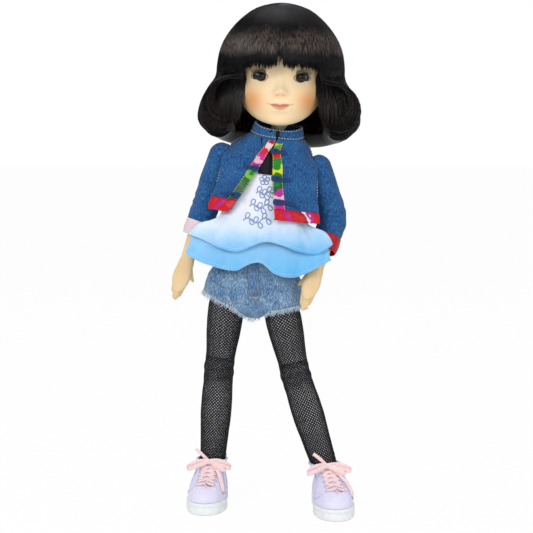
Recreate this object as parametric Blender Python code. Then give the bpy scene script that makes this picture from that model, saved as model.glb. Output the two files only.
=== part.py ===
"""Dressed fashion doll with a jointed vinyl body, wig, denim jacket, ruffled top, shorts,
net leggings and laced shoes.

The doll stands on z = 0, faces -Y, and its own right side is at -X. All sizes are in metres.
Each moving piece hangs from an empty that stands on its joint.
"""
import math

import bmesh
import bpy
from mathutils import Matrix, Vector

RIGHT = -1
LEFT = 1
SIDES = (RIGHT, LEFT)
WORD = {RIGHT: "right", LEFT: "left"}

# Clearances and cutters
GAP = 0.0003
SLIDE = 0.0006
OVERRUN = 0.004
NUDGE = 0.000004

# Stance
STAND_X = 0.002045
STAND_Y = -0.0005
PELVIS_X = -0.0098
ANKLE_HEIGHT = 0.0220
TORSO_LEAN = math.radians(7.2)
HEAD_TILT = math.radians(2.0)
THIGH_LEAN = {RIGHT: math.radians(6.9), LEFT: math.radians(12.4)}
THIGH_FORWARD = {RIGHT: math.radians(-2.5), LEFT: math.radians(4.0)}
SHIN_LEAN_RIGHT = math.radians(4.1)
SHIN_FORWARD = {RIGHT: math.radians(-2.5), LEFT: math.radians(4.0)}
TOE_OUT = {RIGHT: math.radians(15.0), LEFT: math.radians(9.0)}
ARM_LEAN = {RIGHT: math.radians(18.0), LEFT: math.radians(17.2)}
ARM_BACK = {RIGHT: math.radians(0.0), LEFT: math.radians(7.0)}
FOREARM_LEAN = {RIGHT: math.radians(19.0), LEFT: math.radians(-18.5)}
FOREARM_FORWARD = {RIGHT: math.radians(4.0), LEFT: math.radians(23.5)}

# Body lengths
TORSO_LENGTH = 0.1147
SHOULDER_HALF_SPACING = 0.0360
SHOULDER_DROP = 0.0150
HIP_HALF_SPACING = 0.0190
THIGH_LENGTH = 0.0600
SHIN_LENGTH = 0.0800
UPPER_ARM_LENGTH = 0.0400
FOREARM_LENGTH = 0.0440
PALM_LENGTH = 0.0165
FINGER_LENGTH = 0.0155
NECK_HEIGHT = 0.0150
NECK_SIDE = 0.0028

# Body girths
TORSO_HALF_WIDTH = 0.0250
TORSO_HALF_DEPTH = 0.0155
PELVIS_HALF_WIDTH = 0.0300
NECK_RADIUS = 0.0085
THIGH_RADIUS = 0.0130
KNEE_RADIUS = 0.0105
CALF_RADIUS = 0.0115
ANKLE_RADIUS = 0.0088
ARM_RADIUS = 0.0062
WRIST_RADIUS = 0.0052
PALM_HALF_WIDTH = 0.0066
PALM_HALF_DEPTH = 0.0036
FINGER_RADIUS = 0.0018
FINGER_PITCH = 0.0033

# Joint pieces
SHOULDER_BALL = 0.0070
SHOULDER_HUB = 0.0045
SHOULDER_HUB_INSET = 0.0165
HIP_BALL = 0.0125
HIP_HUB = 0.0060
STEM_RADIUS = 0.0022
STEM_END = 0.0021
TONGUE_RADIUS = 0.0034
TONGUE_THICKNESS = 0.0032
PIN_RADIUS = 0.0011
ELBOW_POST_LENGTH = 0.0080
KNEE_TONGUE_RADIUS = 0.0055
KNEE_TONGUE_THICKNESS = 0.0050
KNEE_PIN_RADIUS = 0.0017
KNEE_PIN_LENGTH = 0.0170
NECK_BALL = 0.0070
NECK_POST_RADIUS = 0.0035
NECK_POST_LENGTH = 0.0150

# Head
HEAD_HALF_WIDTH = 0.0335
HEAD_FRONT = 0.0330
HEAD_BACK = 0.0380
HEAD_HEIGHT = 0.0800
HEAD_WALL = 0.0022
CHIN_DROP = 0.0050
JAW_RISE = 0.0070
EYE_SPACING_HALF = 0.0143
EYE_HEIGHT = 0.0374
EYE_HALF_WIDTH = 0.0051
EYE_HALF_HEIGHT = 0.0031
EYE_RADIUS = 0.0090
EYE_DEPTH = 0.0182
NOSE_HEIGHT = 0.0272
NOSE_REACH = 0.0042
MOUTH_HEIGHT = 0.0155
LIP_REACH = 0.0017
EAR_HEIGHT = 0.0150
EAR_REACH = 0.0032

# Wig
HAIR_TOP = 0.0835
HAIR_HALF_WIDTH = 0.0465
HAIR_HALF_DEPTH = 0.0440
HAIR_THICKNESS = 0.0045
FRINGE_THICKNESS = 0.0032
FRINGE_DROP = 0.0420
FRINGE_TOP = 0.0640
WIG_HEIGHT = 0.0505
LOCK_TOP = 0.0322
LOCK_DROP = 0.0510
LOCK_REACH = 0.0600

# Clothes
DENIM = 0.0009
SATIN = 0.0007
COTTON = 0.0005
NET = 0.0006
JACKET_LENGTH = 0.0580
COLLAR_HEIGHT = 0.0088
NECKLINE_RISE = 0.0022
NECKLINE_DIP = 0.0025
SLEEVE_RADIUS = 0.0098
SLEEVE_CAP = 0.0096
SLEEVE_LENGTH = 0.0660
CUFF_HEIGHT = 0.0105
FACING_WIDTH = 0.0080
HEM_TRIM_HEIGHT = 0.0078
FROG_LENGTH = 0.0120
FROG_HEIGHT = 0.0030
FROG_DEPTH = 0.0022
BODICE_DROP = 0.0207
BODICE_TOP = TORSO_LENGTH - BODICE_DROP
BODICE_LENGTH = 0.0600
RUFFLE_DROP = 0.0440
RUFFLE_TOP = BODICE_TOP - RUFFLE_DROP
RUFFLE_HEIGHT = 0.0320
SHORTS_WAIST = 0.0300
SHORTS_LEG_LENGTH = 0.0170
SHORTS_EASE = 0.0022
LEGGING_EASE = 0.0004
LEGGING_TOP = 0.0125

# Shoes
SOLE_THICKNESS = 0.0080
SHOE_LENGTH = 0.0620
SHOE_HALF_WIDTH = 0.0150
HEEL_BACK = 0.0170
SHOE_HEIGHT = 0.0330
SHOE_WALL = 0.0011
SOLE_RIM = 0.0009
LACE_WIDTH = 0.0030
LACE_THICKNESS = 0.0009
BOW_LOOP = 0.0090


def srgb(value):
    """A six-digit hex colour as the linear values that a shader takes."""
    channels = [int(value[i:i + 2], 16) / 255 for i in (1, 3, 5)]
    return [c / 12.92 if c <= 0.04045 else ((c + 0.055) / 1.055) ** 2.4 for c in channels] + [1.0]


def finish(name, colour, roughness, metallic=0.0):
    material = bpy.data.materials.new(name)
    material.use_nodes = True
    shader = material.node_tree.nodes["Principled BSDF"]
    shader.inputs["Base Color"].default_value = srgb(colour)
    shader.inputs["Roughness"].default_value = roughness
    shader.inputs["Metallic"].default_value = metallic
    return material


def empty(name, parent, local):
    """An empty placed by a matrix in its parent's frame. WORLD keeps its place in the world."""
    marker = bpy.data.objects.new(name, None)
    bpy.context.collection.objects.link(marker)
    if parent:
        marker.parent = EMPTIES[parent]
        WORLD[name] = WORLD[parent] @ local
    else:
        WORLD[name] = local
    marker.matrix_basis = local
    EMPTIES[name] = marker
    return marker


def shift(x, y, z):
    return Matrix.Translation((x, y, z))


def turn(angle, axis):
    return Matrix.Rotation(angle, 4, axis)


def build(name, points, faces, material, pivot, smooth=40.0):
    """One object from points in its pivot's frame, with its faces turned outwards."""
    mesh = bpy.data.meshes.new(name)
    mesh.from_pydata([tuple(p) for p in points], [], faces)
    work = bmesh.new()
    work.from_mesh(mesh)
    bmesh.ops.recalc_face_normals(work, faces=work.faces)
    work.to_mesh(mesh)
    work.free()
    mesh.shade_smooth()
    mesh.set_sharp_from_angle(angle=math.radians(smooth))
    body = bpy.data.objects.new(name, mesh)
    bpy.context.collection.objects.link(body)
    body.parent = EMPTIES[pivot]
    if material:
        mesh.materials.append(material)
    return body


def guide(name, points, faces, pivot):
    """A hidden solid that cuts or joins another, a hair off centre so that no two edges coincide."""
    step = NUDGE * (1 + len(bpy.data.objects) % 7)
    points = [Vector(p) + Vector((step, 1.37 * step, 1.73 * step)) for p in points]
    body = build(name, points, faces, None, pivot)
    body.hide_render = True
    body.display_type = "WIRE"
    return body


def boolean(body, tool, operation="DIFFERENCE"):
    step = body.modifiers.new(operation.lower() + "_" + tool.name, "BOOLEAN")
    step.operation = operation
    step.solver = "EXACT"
    step.object = tool


def loft(rings, tips=()):
    """Points and faces of a closed solid through rings of equal count, with fanned ends or given tips."""
    count = len(rings[0])
    points = [p for ring in rings for p in ring]
    faces = []
    for row in range(len(rings) - 1):
        for i in range(count):
            j = (i + 1) % count
            a = row * count
            faces.append((a + i, a + j, a + count + j, a + count + i))
    ends = list(tips) + [None, None]
    for ring, start, tip in ((rings[0], 0, ends[0]), (rings[-1], (len(rings) - 1) * count, ends[1])):
        points.append(Vector(tip) if tip else sum(ring, Vector()) / count)
        hub = len(points) - 1
        for i in range(count):
            faces.append((start + i, start + (i + 1) % count, hub))
    return points, faces


def sheet(rows, closed=False):
    """Points and faces of an open cloth grid. Rows run top to bottom."""
    count = len(rows[0])
    points = [p for row in rows for p in row]
    faces = []
    for r in range(len(rows) - 1):
        for i in range(count if closed else count - 1):
            j = (i + 1) % count
            a = r * count
            faces.append((a + i, a + j, a + count + j, a + count + i))
    return points, faces


def cloth(name, rows, thickness, material, pivot, closed=False):
    """A sheet turned to face away from its own axis, with a wall built inwards."""
    points, faces = sheet(rows, closed)
    body = build(name, points, faces, material, pivot)
    mesh = body.data
    outward = sum(f.normal.x * f.center.x + f.normal.y * f.center.y for f in mesh.polygons)
    if outward < 0:
        mesh.flip_normals()
    wall = body.modifiers.new("wall", "SOLIDIFY")
    wall.thickness = thickness
    wall.offset = -1.0
    return body


def oval(z, half_width, front, back, sides=20, square=1.0, x=0.0, y=0.0):
    """A level ring whose front and back halves have their own depths."""
    ring = []
    for i in range(sides):
        angle = math.tau * i / sides
        s = math.sin(angle)
        c = math.cos(angle)
        depth = front if c > 0 else back
        ring.append(Vector((
            x + half_width * math.copysign(abs(s) ** square, s),
            y - depth * math.copysign(abs(c) ** square, c),
            z,
        )))
    return ring


def ball_rings(radius, steps, sides, top=1):
    """Rings from near the pole of a ball to its equator."""
    rings = []
    for k in range(1, steps + 1):
        angle = 0.5 * math.pi * k / steps
        rings.append(oval(
            top * radius * math.cos(angle), radius * math.sin(angle),
            radius * math.sin(angle), radius * math.sin(angle), sides,
        ))
    return rings


def ball(radius, sides=12, steps=6, at=(0, 0, 0)):
    rings = []
    for k in range(1, steps):
        angle = math.pi * k / steps
        r = radius * math.sin(angle)
        rings.append([p + Vector(at) for p in oval(radius * math.cos(angle), r, r, r, sides)])
    pole = Vector((0, 0, radius))
    return loft(rings, (pole + Vector(at), Vector(at) - pole))


def rod(radius, low, high, axis, sides=10, at=(0, 0, 0)):
    """A round bar along an axis, from low to high, through a point."""
    rings = []
    for end in (low, high):
        ring = []
        for i in range(sides):
            angle = math.tau * (i + 0.5) / sides
            u = radius * math.cos(angle)
            v = radius * math.sin(angle)
            spot = {"X": (end, u, v), "Y": (u, end, v), "Z": (u, v, end)}[axis]
            ring.append(Vector(spot) + Vector(at))
        rings.append(ring)
    return loft(rings)


def cone(near, far, start, end, side, sides=12):
    """A cone frustum along X, towards the given side."""
    rings = []
    for radius, reach in ((near, start), (far, end)):
        rings.append([
            Vector((side * reach, radius * math.cos(math.tau * i / sides), radius * math.sin(math.tau * i / sides)))
            for i in range(sides)
        ])
    return loft(rings)


def prism(outline, low, high, axis):
    """An outline in the two other axes, drawn out along one axis."""
    rings = []
    for end in (low, high):
        if axis == "X":
            rings.append([Vector((end, u, v)) for u, v in outline])
        elif axis == "Y":
            rings.append([Vector((u, end, v)) for u, v in outline])
        else:
            rings.append([Vector((u, v, end)) for u, v in outline])
    return loft(rings)


def sector(radius, start, end, steps=5):
    """A pie outline between two angles, counted from +u towards +v."""
    outline = [(0.0, 0.0)]
    for i in range(steps + 1):
        angle = start + (end - start) * i / steps
        outline.append((radius * math.cos(angle), radius * math.sin(angle)))
    return outline


def blend(table, share):
    """Row of a share table at a place along its first column, run smoothly between rows."""
    for lower, upper in zip(table, table[1:]):
        if share <= upper[0]:
            t = (share - lower[0]) / (upper[0] - lower[0])
            t = t * t * (3 - 2 * t)
            return [a + (b - a) * t for a, b in zip(lower, upper)]
    return list(table[-1])


def direction(lean, forward, side):
    """Downward unit vector that leans outwards and forwards."""
    x = side * math.sin(lean)
    y = -math.sin(forward)
    return Vector((x, y, -math.sqrt(1 - x * x - y * y)))


# Skeleton. Each limb's own -Z runs along the limb.

def limb_turns(parent, target):
    """Turn about X, then about Y, that point -Z along the target, in the parent's frame."""
    local = parent.to_3x3().inverted() @ target
    about_y = math.asin(-local.x)
    about_x = math.atan2(local.y, -local.z)
    return about_x, about_y


def build_skeleton():
    drop = {
        RIGHT: THIGH_LENGTH * -direction(THIGH_LEAN[RIGHT], THIGH_FORWARD[RIGHT], RIGHT).z
        + SHIN_LENGTH * -direction(SHIN_LEAN_RIGHT, SHIN_FORWARD[RIGHT], RIGHT).z
    }
    pelvis_height = ANKLE_HEIGHT + drop[RIGHT] - HIP_HALF_SPACING * math.sin(TORSO_LEAN)
    empty("stand", None, shift(STAND_X, STAND_Y, 0))
    empty("torso_frame", "stand", shift(PELVIS_X, 0, pelvis_height) @ turn(TORSO_LEAN, "Y"))
    neck = shift(NECK_SIDE, 0, TORSO_LENGTH + NECK_HEIGHT)
    empty("neck_pivot", "torso_frame", neck)
    empty("head_pivot", "neck_pivot", turn(HEAD_TILT - TORSO_LEAN, "Y"))
    for side in SIDES:
        word = WORD[side]
        shoulder = shift(side * SHOULDER_HALF_SPACING, 0, TORSO_LENGTH - SHOULDER_DROP)
        arm = direction(ARM_LEAN[side], -ARM_BACK[side], side)
        swing, spread = limb_turns(WORLD["torso_frame"], arm)
        empty("shoulder_hub_pivot_" + word, "torso_frame", shoulder @ turn(swing, "X"))
        empty("upper_arm_pivot_" + word, "shoulder_hub_pivot_" + word, turn(spread, "Y"))
        forearm = direction(FOREARM_LEAN[side] * 1.0, FOREARM_FORWARD[side], side)
        local = WORLD["upper_arm_pivot_" + word].to_3x3().inverted() @ forearm
        twist = math.atan2(local.x, -local.y)
        bend = -math.acos(max(-1.0, min(1.0, -local.z)))
        elbow = shift(0, 0, -UPPER_ARM_LENGTH) @ turn(twist, "Z")
        empty("elbow_hub_pivot_" + word, "upper_arm_pivot_" + word, elbow)
        empty("forearm_pivot_" + word, "elbow_hub_pivot_" + word, turn(bend, "X"))
        empty("hand_pivot_" + word, "forearm_pivot_" + word, turn(-twist, "Z"))

        hip = shift(side * HIP_HALF_SPACING, 0, 0)
        thigh = direction(THIGH_LEAN[side], THIGH_FORWARD[side], side)
        local = WORLD["torso_frame"].to_3x3().inverted() @ thigh
        spread = math.atan2(-local.x, -local.z)
        swing = math.asin(local.y)
        empty("hip_hub_pivot_" + word, "torso_frame", hip @ turn(spread, "Y"))
        empty("thigh_pivot_" + word, "hip_hub_pivot_" + word, turn(swing, "X"))
        knee = shift(0, 0, -THIGH_LENGTH)
        empty("knee_pivot_" + word, "thigh_pivot_" + word, knee)
        knee_world = WORLD["knee_pivot_" + word]
        height = knee_world.translation.z - ANKLE_HEIGHT
        if side == RIGHT:
            shin = direction(SHIN_LEAN_RIGHT, SHIN_FORWARD[side], side)
        else:
            level = math.sqrt(1 - (height / SHIN_LENGTH) ** 2)
            lean = math.asin(math.sqrt(max(0.0, level ** 2 - math.sin(SHIN_FORWARD[side]) ** 2)))
            shin = direction(lean, SHIN_FORWARD[side], side)
        local = knee_world.to_3x3().inverted() @ shin
        bend = math.asin(local.y)
        outward = math.atan2(-local.x, -local.z)
        empty("shin_line_" + word, "knee_pivot_" + word, turn(outward, "Y") @ turn(bend, "X"))
        ankle = knee_world.translation + shin * SHIN_LENGTH
        foot = shift(ankle.x, ankle.y, 0) @ turn(side * TOE_OUT[side], "Z")
        empty("foot_line_" + word, "knee_pivot_" + word, knee_world.inverted() @ foot)
        SHIN_SLOPE[side] = (foot.to_3x3().inverted() @ shin).xy / -shin.z


# Torso

TORSO_RING_SHARES = (
    # height, half width, front, back; heights are shares of the torso's length
    (-0.083, 0.12, 0.26, 0.34),
    (-0.060, 0.80, 0.70, 0.85),
    (0.030, 1.10, 0.86, 1.00),
    (0.110, 1.22, 1.00, 1.18),
    (0.200, 1.12, 0.97, 1.10),
    (0.340, 0.82, 0.90, 0.84),
    (0.500, 0.88, 1.00, 0.86),
    (0.640, 0.94, 1.08, 0.95),
    (0.780, 0.97, 1.06, 0.96),
    (0.830, 1.00, 1.00, 0.92),
    (0.870, 1.07, 0.90, 0.88),
    (0.930, 0.88, 0.74, 0.78),
    (0.975, 0.52, 0.60, 0.64),
    (1.000, 0.36, 0.56, 0.58),
)


def leg_box(half, front, back, low, high, at):
    """A box beside a hip, from front to back and from low to high."""
    outline = [(front, low), (back, low), (back, high), (front, high)]
    outline = [(at[1] + y, at[2] + z) for y, z in outline]
    return prism(outline, at[0] - half, at[0] + half, "X")


def build_torso(vinyl):
    rings = []
    for height, width, front, back in TORSO_RING_SHARES:
        rings.append(oval(
            height * TORSO_LENGTH, width * TORSO_HALF_WIDTH, front * TORSO_HALF_DEPTH,
            back * TORSO_HALF_DEPTH, 18, 0.9, NECK_SIDE * max(0.0, 10 * height - 9),
        ))
    neck_top = TORSO_LENGTH + NECK_HEIGHT - NECK_BALL - SLIDE * 6
    rings.append(oval(neck_top, NECK_RADIUS, NECK_RADIUS, NECK_RADIUS, 18, 0.95, NECK_SIDE))
    torso = build("torso", *loft(rings), vinyl, "torso_frame")

    low = neck_top - NECK_POST_LENGTH
    neck_cut = rod(NECK_POST_RADIUS + GAP, low, neck_top + OVERRUN, "Z", 10, (NECK_SIDE, 0, 0))
    boolean(torso, guide("neck_bore", *neck_cut, "torso_frame"))
    for side in SIDES:
        word = WORD[side]
        hub = "shoulder_hub_pivot_" + word
        dish = ball(SHOULDER_BALL + SLIDE, 14, 7)
        boolean(torso, guide("shoulder_dish_" + word, *dish, hub))
        socket = ball(SHOULDER_HUB + SLIDE, 12, 6, (-side * SHOULDER_HUB_INSET, 0, 0))
        boolean(torso, guide("shoulder_socket_" + word, *socket, hub))
        throat = rod(STEM_RADIUS + GAP, -SHOULDER_HUB_INSET, SHOULDER_HUB_INSET, "X")
        boolean(torso, guide("shoulder_throat_" + word, *throat, hub))
        place = (side * HIP_HALF_SPACING, 0, 0)
        cup = ball(HIP_BALL + 2 * SLIDE, 16, 8, place)
        boolean(torso, guide("hip_cup_" + word, *cup, "torso_frame"))
        reach = THIGH_RADIUS + SLIDE
        ahead = leg_box(reach, -TORSO_HALF_DEPTH - 2 * OVERRUN, -STEM_END, -reach, reach, place)
        boolean(torso, guide("thigh_way_" + word, *ahead, "torso_frame"))
        wide = reach + 0.5 * GAP
        under = leg_box(wide, -reach - 2 * OVERRUN, wide, -reach - OVERRUN, -SLIDE, place)
        boolean(torso, guide("thigh_room_" + word, *under, "torso_frame"))
        inner = HIP_HALF_SPACING - HIP_BALL - OVERRUN
        stem = rod(STEM_RADIUS, side * inner, side * (HIP_HALF_SPACING - STEM_END), "X")
        boolean(torso, guide("hip_stem_" + word, *stem, "torso_frame"), "UNION")
        half = 0.5 * TONGUE_THICKNESS
        tongue = rod(TONGUE_RADIUS, -half, half, "Y", 14, place)
        boolean(torso, guide("hip_tongue_" + word, *tongue, "torso_frame"), "UNION")
        hole = rod(PIN_RADIUS + GAP, -half - OVERRUN, half + OVERRUN, "Y", 10, place)
        boolean(torso, guide("hip_tongue_hole_" + word, *hole, "torso_frame"))


def build_shoulder(side, vinyl, nylon):
    word = WORD[side]
    pivot = "shoulder_hub_pivot_" + word
    inset = -side * SHOULDER_HUB_INSET
    hub = build("shoulder_hub_" + word, *ball(SHOULDER_HUB, 10, 5, (inset, 0, 0)), nylon, pivot)
    stem = guide("shoulder_stem_" + word, *rod(STEM_RADIUS, inset, -side * STEM_END, "X"), pivot)
    boolean(hub, stem, "UNION")
    half = 0.5 * TONGUE_THICKNESS
    tongue = rod(TONGUE_RADIUS, -half, half, "Y", 14)
    boolean(hub, guide("shoulder_tongue_" + word, *tongue, pivot), "UNION")
    hole = rod(PIN_RADIUS + GAP, -half - OVERRUN, half + OVERRUN, "Y", 10)
    boolean(hub, guide("shoulder_hole_" + word, *hole, pivot))

    pivot = "upper_arm_pivot_" + word
    flat_end = UPPER_ARM_LENGTH - ARM_RADIUS - GAP
    rings = ball_rings(SHOULDER_BALL, 3, 12)
    for share, radius in UPPER_ARM_RING_SHARES:
        r = radius * ARM_RADIUS
        rings.append(oval(-share * flat_end, r, r, r, 12))
    arm = build("upper_arm_" + word, *loft(rings, [(0, 0, SHOULDER_BALL)]), vinyl, pivot)
    cut = STEM_RADIUS + GAP
    inward = math.pi if side == LEFT else 0.0
    low = inward - side * SLOT_ABOVE
    high = inward + side * SLOT_BELOW
    wedge = prism(sector(SHOULDER_BALL + OVERRUN, low, high), -cut, cut, "Y")
    boolean(arm, guide("shoulder_slot_" + word, *wedge, pivot))
    seat = rod(TONGUE_RADIUS + GAP, -cut, cut, "Y", 14)
    boolean(arm, guide("shoulder_seat_" + word, *seat, pivot))
    grip = 0.8 * SHOULDER_BALL
    pin = guide("shoulder_pin_" + word, *rod(PIN_RADIUS, -grip, grip, "Y", 8), pivot)
    boolean(arm, pin, "UNION")
    bore = rod(STEM_RADIUS + GAP, -UPPER_ARM_LENGTH, -flat_end + ELBOW_POST_LENGTH, "Z")
    boolean(arm, guide("elbow_bore_" + word, *bore, pivot))


UPPER_ARM_RING_SHARES = (
    # place down the arm, radius as a share of the arm's
    (0.22, 1.12),
    (0.45, 1.06),
    (0.75, 0.98),
    (1.00, 0.98),
)
SLOT_BELOW = math.radians(34)
SLOT_ABOVE = math.radians(112)


def build_elbow(side, nylon):
    word = WORD[side]
    pivot = "elbow_hub_pivot_" + word
    top = ARM_RADIUS + ELBOW_POST_LENGTH - SLIDE
    hub = build("elbow_hub_" + word, *rod(STEM_RADIUS, STEM_END, top, "Z", 12), nylon, pivot)
    half = 0.5 * TONGUE_THICKNESS
    tongue = rod(TONGUE_RADIUS, -half, half, "X", 14)
    boolean(hub, guide("elbow_tongue_" + word, *tongue, pivot), "UNION")
    hole = rod(PIN_RADIUS + GAP, -half - OVERRUN, half + OVERRUN, "X", 10)
    boolean(hub, guide("elbow_hole_" + word, *hole, pivot))


FOREARM_RING_SHARES = (
    # place down the forearm, radius as a share of the arm's
    (0.18, 0.99),
    (0.45, 0.98),
    (0.75, 0.90),
    (1.00, 0.84),
)
PALM_RING_SHARES = (
    # place down the palm, half width, half depth
    (0.25, 0.84, 1.10),
    (0.60, 1.00, 1.00),
    (1.00, 0.98, 0.85),
)
FINGER_SHARES = (
    # place across the palm from the thumb side, length, drop of the knuckle
    (-1.5, 0.86, 0.06),
    (-0.5, 1.00, 0.00),
    (0.5, 0.96, 0.02),
    (1.5, 0.78, 0.12),
)
FINGER_CURL = math.radians(16)
FLEX_ROOM = math.radians(174)
THUMB_SPLAY = math.radians(24)


def finger(root, length, radius, across, forward, side):
    """A tapering finger in three joints that curl towards the palm, which faces +Y."""
    rings = []
    spot = Vector(root)
    heading = Vector((-side * across, forward, -1)).normalized()
    for k, share in enumerate((0.0, 0.45, 0.85, 1.0)):
        if k:
            spot = spot + heading * length * (share - last)
            heading = turn(FINGER_CURL, "X").to_3x3() @ heading
        last = share
        r = radius * (1.0, 1.0, 0.82, 0.42)[k]
        rings.append([p + spot for p in oval(0, r, r, r, 6)])
    return loft(rings)


def build_forearm(side, vinyl):
    word = WORD[side]
    pivot = "forearm_pivot_" + word
    rings = ball_rings(ARM_RADIUS, 3, 12)
    for share, radius in FOREARM_RING_SHARES:
        r = radius * ARM_RADIUS
        rings.append(oval(-share * FOREARM_LENGTH, r, r, r, 12))
    arm = build("forearm_" + word, *loft(rings, [(0, 0, ARM_RADIUS)]), vinyl, pivot)
    hand = "hand_pivot_" + word
    wrist = WRIST_RADIUS
    palm = [oval(-FOREARM_LENGTH + OVERRUN, wrist * 0.9, wrist * 0.9, wrist * 0.9, 12)]
    for share, width, depth in PALM_RING_SHARES:
        z = -FOREARM_LENGTH - share * PALM_LENGTH
        deep = depth * PALM_HALF_DEPTH
        palm.append(oval(z, width * PALM_HALF_WIDTH, deep, deep, 12, 0.85))
    boolean(arm, guide("palm_" + word, *loft(palm), hand), "UNION")
    for number, (across, length, low) in enumerate(FINGER_SHARES):
        x = side * across * FINGER_PITCH
        z = -FOREARM_LENGTH - PALM_LENGTH * (1 - low) + FINGER_RADIUS
        points = finger((x, 0, z), length * FINGER_LENGTH + FINGER_RADIUS, FINGER_RADIUS, 0, 0.06, side)
        boolean(arm, guide("finger_%s_%d" % (word, number), *points, hand), "UNION")
    root = (-side * 0.62 * PALM_HALF_WIDTH, 0, -FOREARM_LENGTH - 0.15 * PALM_LENGTH)
    thumb = finger(root, 0.85 * FINGER_LENGTH, FINGER_RADIUS * 1.12, math.tan(THUMB_SPLAY), 0.30, side)
    boolean(arm, guide("thumb_" + word, *thumb, hand), "UNION")
    cut = STEM_RADIUS + GAP
    start = math.radians(46)
    wedge = prism(sector(ARM_RADIUS + OVERRUN, start, start + FLEX_ROOM), -cut, cut, "X")
    boolean(arm, guide("elbow_slot_" + word, *wedge, pivot))
    seat = rod(TONGUE_RADIUS + GAP, -cut, cut, "X", 14)
    boolean(arm, guide("elbow_seat_" + word, *seat, pivot))
    grip = 0.8 * ARM_RADIUS
    pin = guide("elbow_pin_" + word, *rod(PIN_RADIUS, -grip, grip, "X", 8), pivot)
    boolean(arm, pin, "UNION")


THIGH_RING_SHARES = (
    # place down the thigh, radius as a share of the thigh's
    (0.16, 0.985),
    (0.38, 1.00),
    (0.62, 0.95),
    (0.82, 0.87),
    (1.00, 0.81),
)
CONE_SPREAD = math.tan(math.radians(44))


def build_hip(side, vinyl, nylon):
    word = WORD[side]
    pivot = "hip_hub_pivot_" + word
    hub = build("hip_hub_" + word, *ball(HIP_HUB, 10, 6), nylon, pivot)
    slot = 0.5 * TONGUE_THICKNESS + GAP
    seat = rod(TONGUE_RADIUS + GAP, -slot, slot, "Y", 14)
    boolean(hub, guide("hip_seat_" + word, *seat, pivot))
    inward = math.pi if side == LEFT else 0.0
    wedge = sector(HIP_HUB + OVERRUN, inward - HUB_ROOM, inward + HUB_ROOM)
    cut = STEM_RADIUS + GAP
    boolean(hub, guide("hip_slot_" + word, *prism(wedge, -cut, cut, "Y"), pivot))
    grip = 0.75 * HIP_HUB
    pin = guide("hip_pin_" + word, *rod(PIN_RADIUS, -grip, grip, "Y", 8), pivot)
    boolean(hub, pin, "UNION")
    stub = rod(STEM_RADIUS, side * 0.8 * HIP_HUB, side * 0.78 * HIP_BALL, "X")
    boolean(hub, guide("hip_stub_" + word, *stub, pivot), "UNION")

    pivot = "thigh_pivot_" + word
    flat_end = THIGH_LENGTH - KNEE_RADIUS - GAP
    rings = ball_rings(HIP_BALL, 3, 16)
    for share, radius in THIGH_RING_SHARES:
        r = radius * THIGH_RADIUS
        rings.append(oval(-share * flat_end, r, r, r * 1.02, 16))
    thigh = build("thigh_" + word, *loft(rings, [(0, 0, HIP_BALL)]), vinyl, pivot)
    boolean(thigh, guide("hub_room_" + word, *ball(HIP_HUB + SLIDE, 12, 6), pivot))
    start = 0.55 * HIP_HUB
    end = HIP_BALL + OVERRUN
    way = cone(CONE_SPREAD * start, CONE_SPREAD * end, start, end, -side)
    boolean(thigh, guide("stem_way_" + word, *way, pivot))
    bore = rod(STEM_RADIUS + GAP, side * 0.5 * HIP_HUB, side * (0.78 * HIP_BALL + GAP), "X")
    boolean(thigh, guide("stub_bore_" + word, *bore, pivot))
    half = 0.5 * KNEE_TONGUE_THICKNESS
    tongue = rod(KNEE_TONGUE_RADIUS, -half, half, "X", 14, (0, 0, -THIGH_LENGTH))
    boolean(thigh, guide("knee_tongue_" + word, *tongue, pivot), "UNION")
    neck = 0.60 * KNEE_TONGUE_RADIUS
    outline = [(-neck, 0), (neck, 0), (neck, -KNEE_RADIUS), (-neck, -KNEE_RADIUS)]
    outline = [(y, z - THIGH_LENGTH + KNEE_RADIUS + OVERRUN) for y, z in outline]
    boolean(thigh, guide("knee_web_" + word, *prism(outline, -half, half, "X"), pivot), "UNION")
    hole = rod(KNEE_PIN_RADIUS + GAP, -half - OVERRUN, half + OVERRUN, "X", 12, (0, 0, -THIGH_LENGTH))
    boolean(thigh, guide("knee_hole_" + word, *hole, pivot))


HUB_ROOM = math.radians(66)

SHIN_RING_SHARES = (
    # place down the shin, front and back as shares of the calf's radius
    (0.13, 0.92, 0.92),
    (0.26, 0.93, 1.00),
    (0.42, 0.92, 1.03),
    (0.62, 0.85, 0.93),
    (0.79, 0.78, 0.82),
    (0.92, 0.76, 0.76),
    (1.05, 0.74, 0.74),
)
FOOT_RING_SHARES = (
    # place back from the toes as a share of the foot, half width, height
    (0.00, 0.42, 0.26),
    (0.06, 0.72, 0.36),
    (0.20, 0.96, 0.44),
    (0.40, 0.98, 0.58),
    (0.60, 0.84, 0.86),
    (0.78, 0.76, 0.96),
    (0.93, 0.66, 0.86),
    (1.00, 0.36, 0.60),
)


def shoe_line(share):
    """Half width of the shoe's outline at a share of its length from the toe."""
    return blend(SHOE_OUTLINE_SHARES, share)[1]


SHOE_OUTLINE_SHARES = (
    (0.00, 0.00),
    (0.03, 0.42),
    (0.10, 0.74),
    (0.28, 1.00),
    (0.45, 0.97),
    (0.65, 0.86),
    (0.85, 0.84),
    (0.96, 0.55),
    (1.00, 0.00),
)


def shoe_ring(z, front, back, half_width, x=0.0, y=0.0, sides=18):
    """A level shoe outline between a front and a back place."""
    ring = []
    for i in range(sides):
        angle = math.tau * i / sides
        share = 0.5 - 0.5 * math.cos(angle)
        width = shoe_line(share) * half_width
        side = 1 if math.sin(angle) >= 0 else -1
        ring.append(Vector((x + side * width, y - front + (front + back) * share, z)))
    return ring


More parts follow.
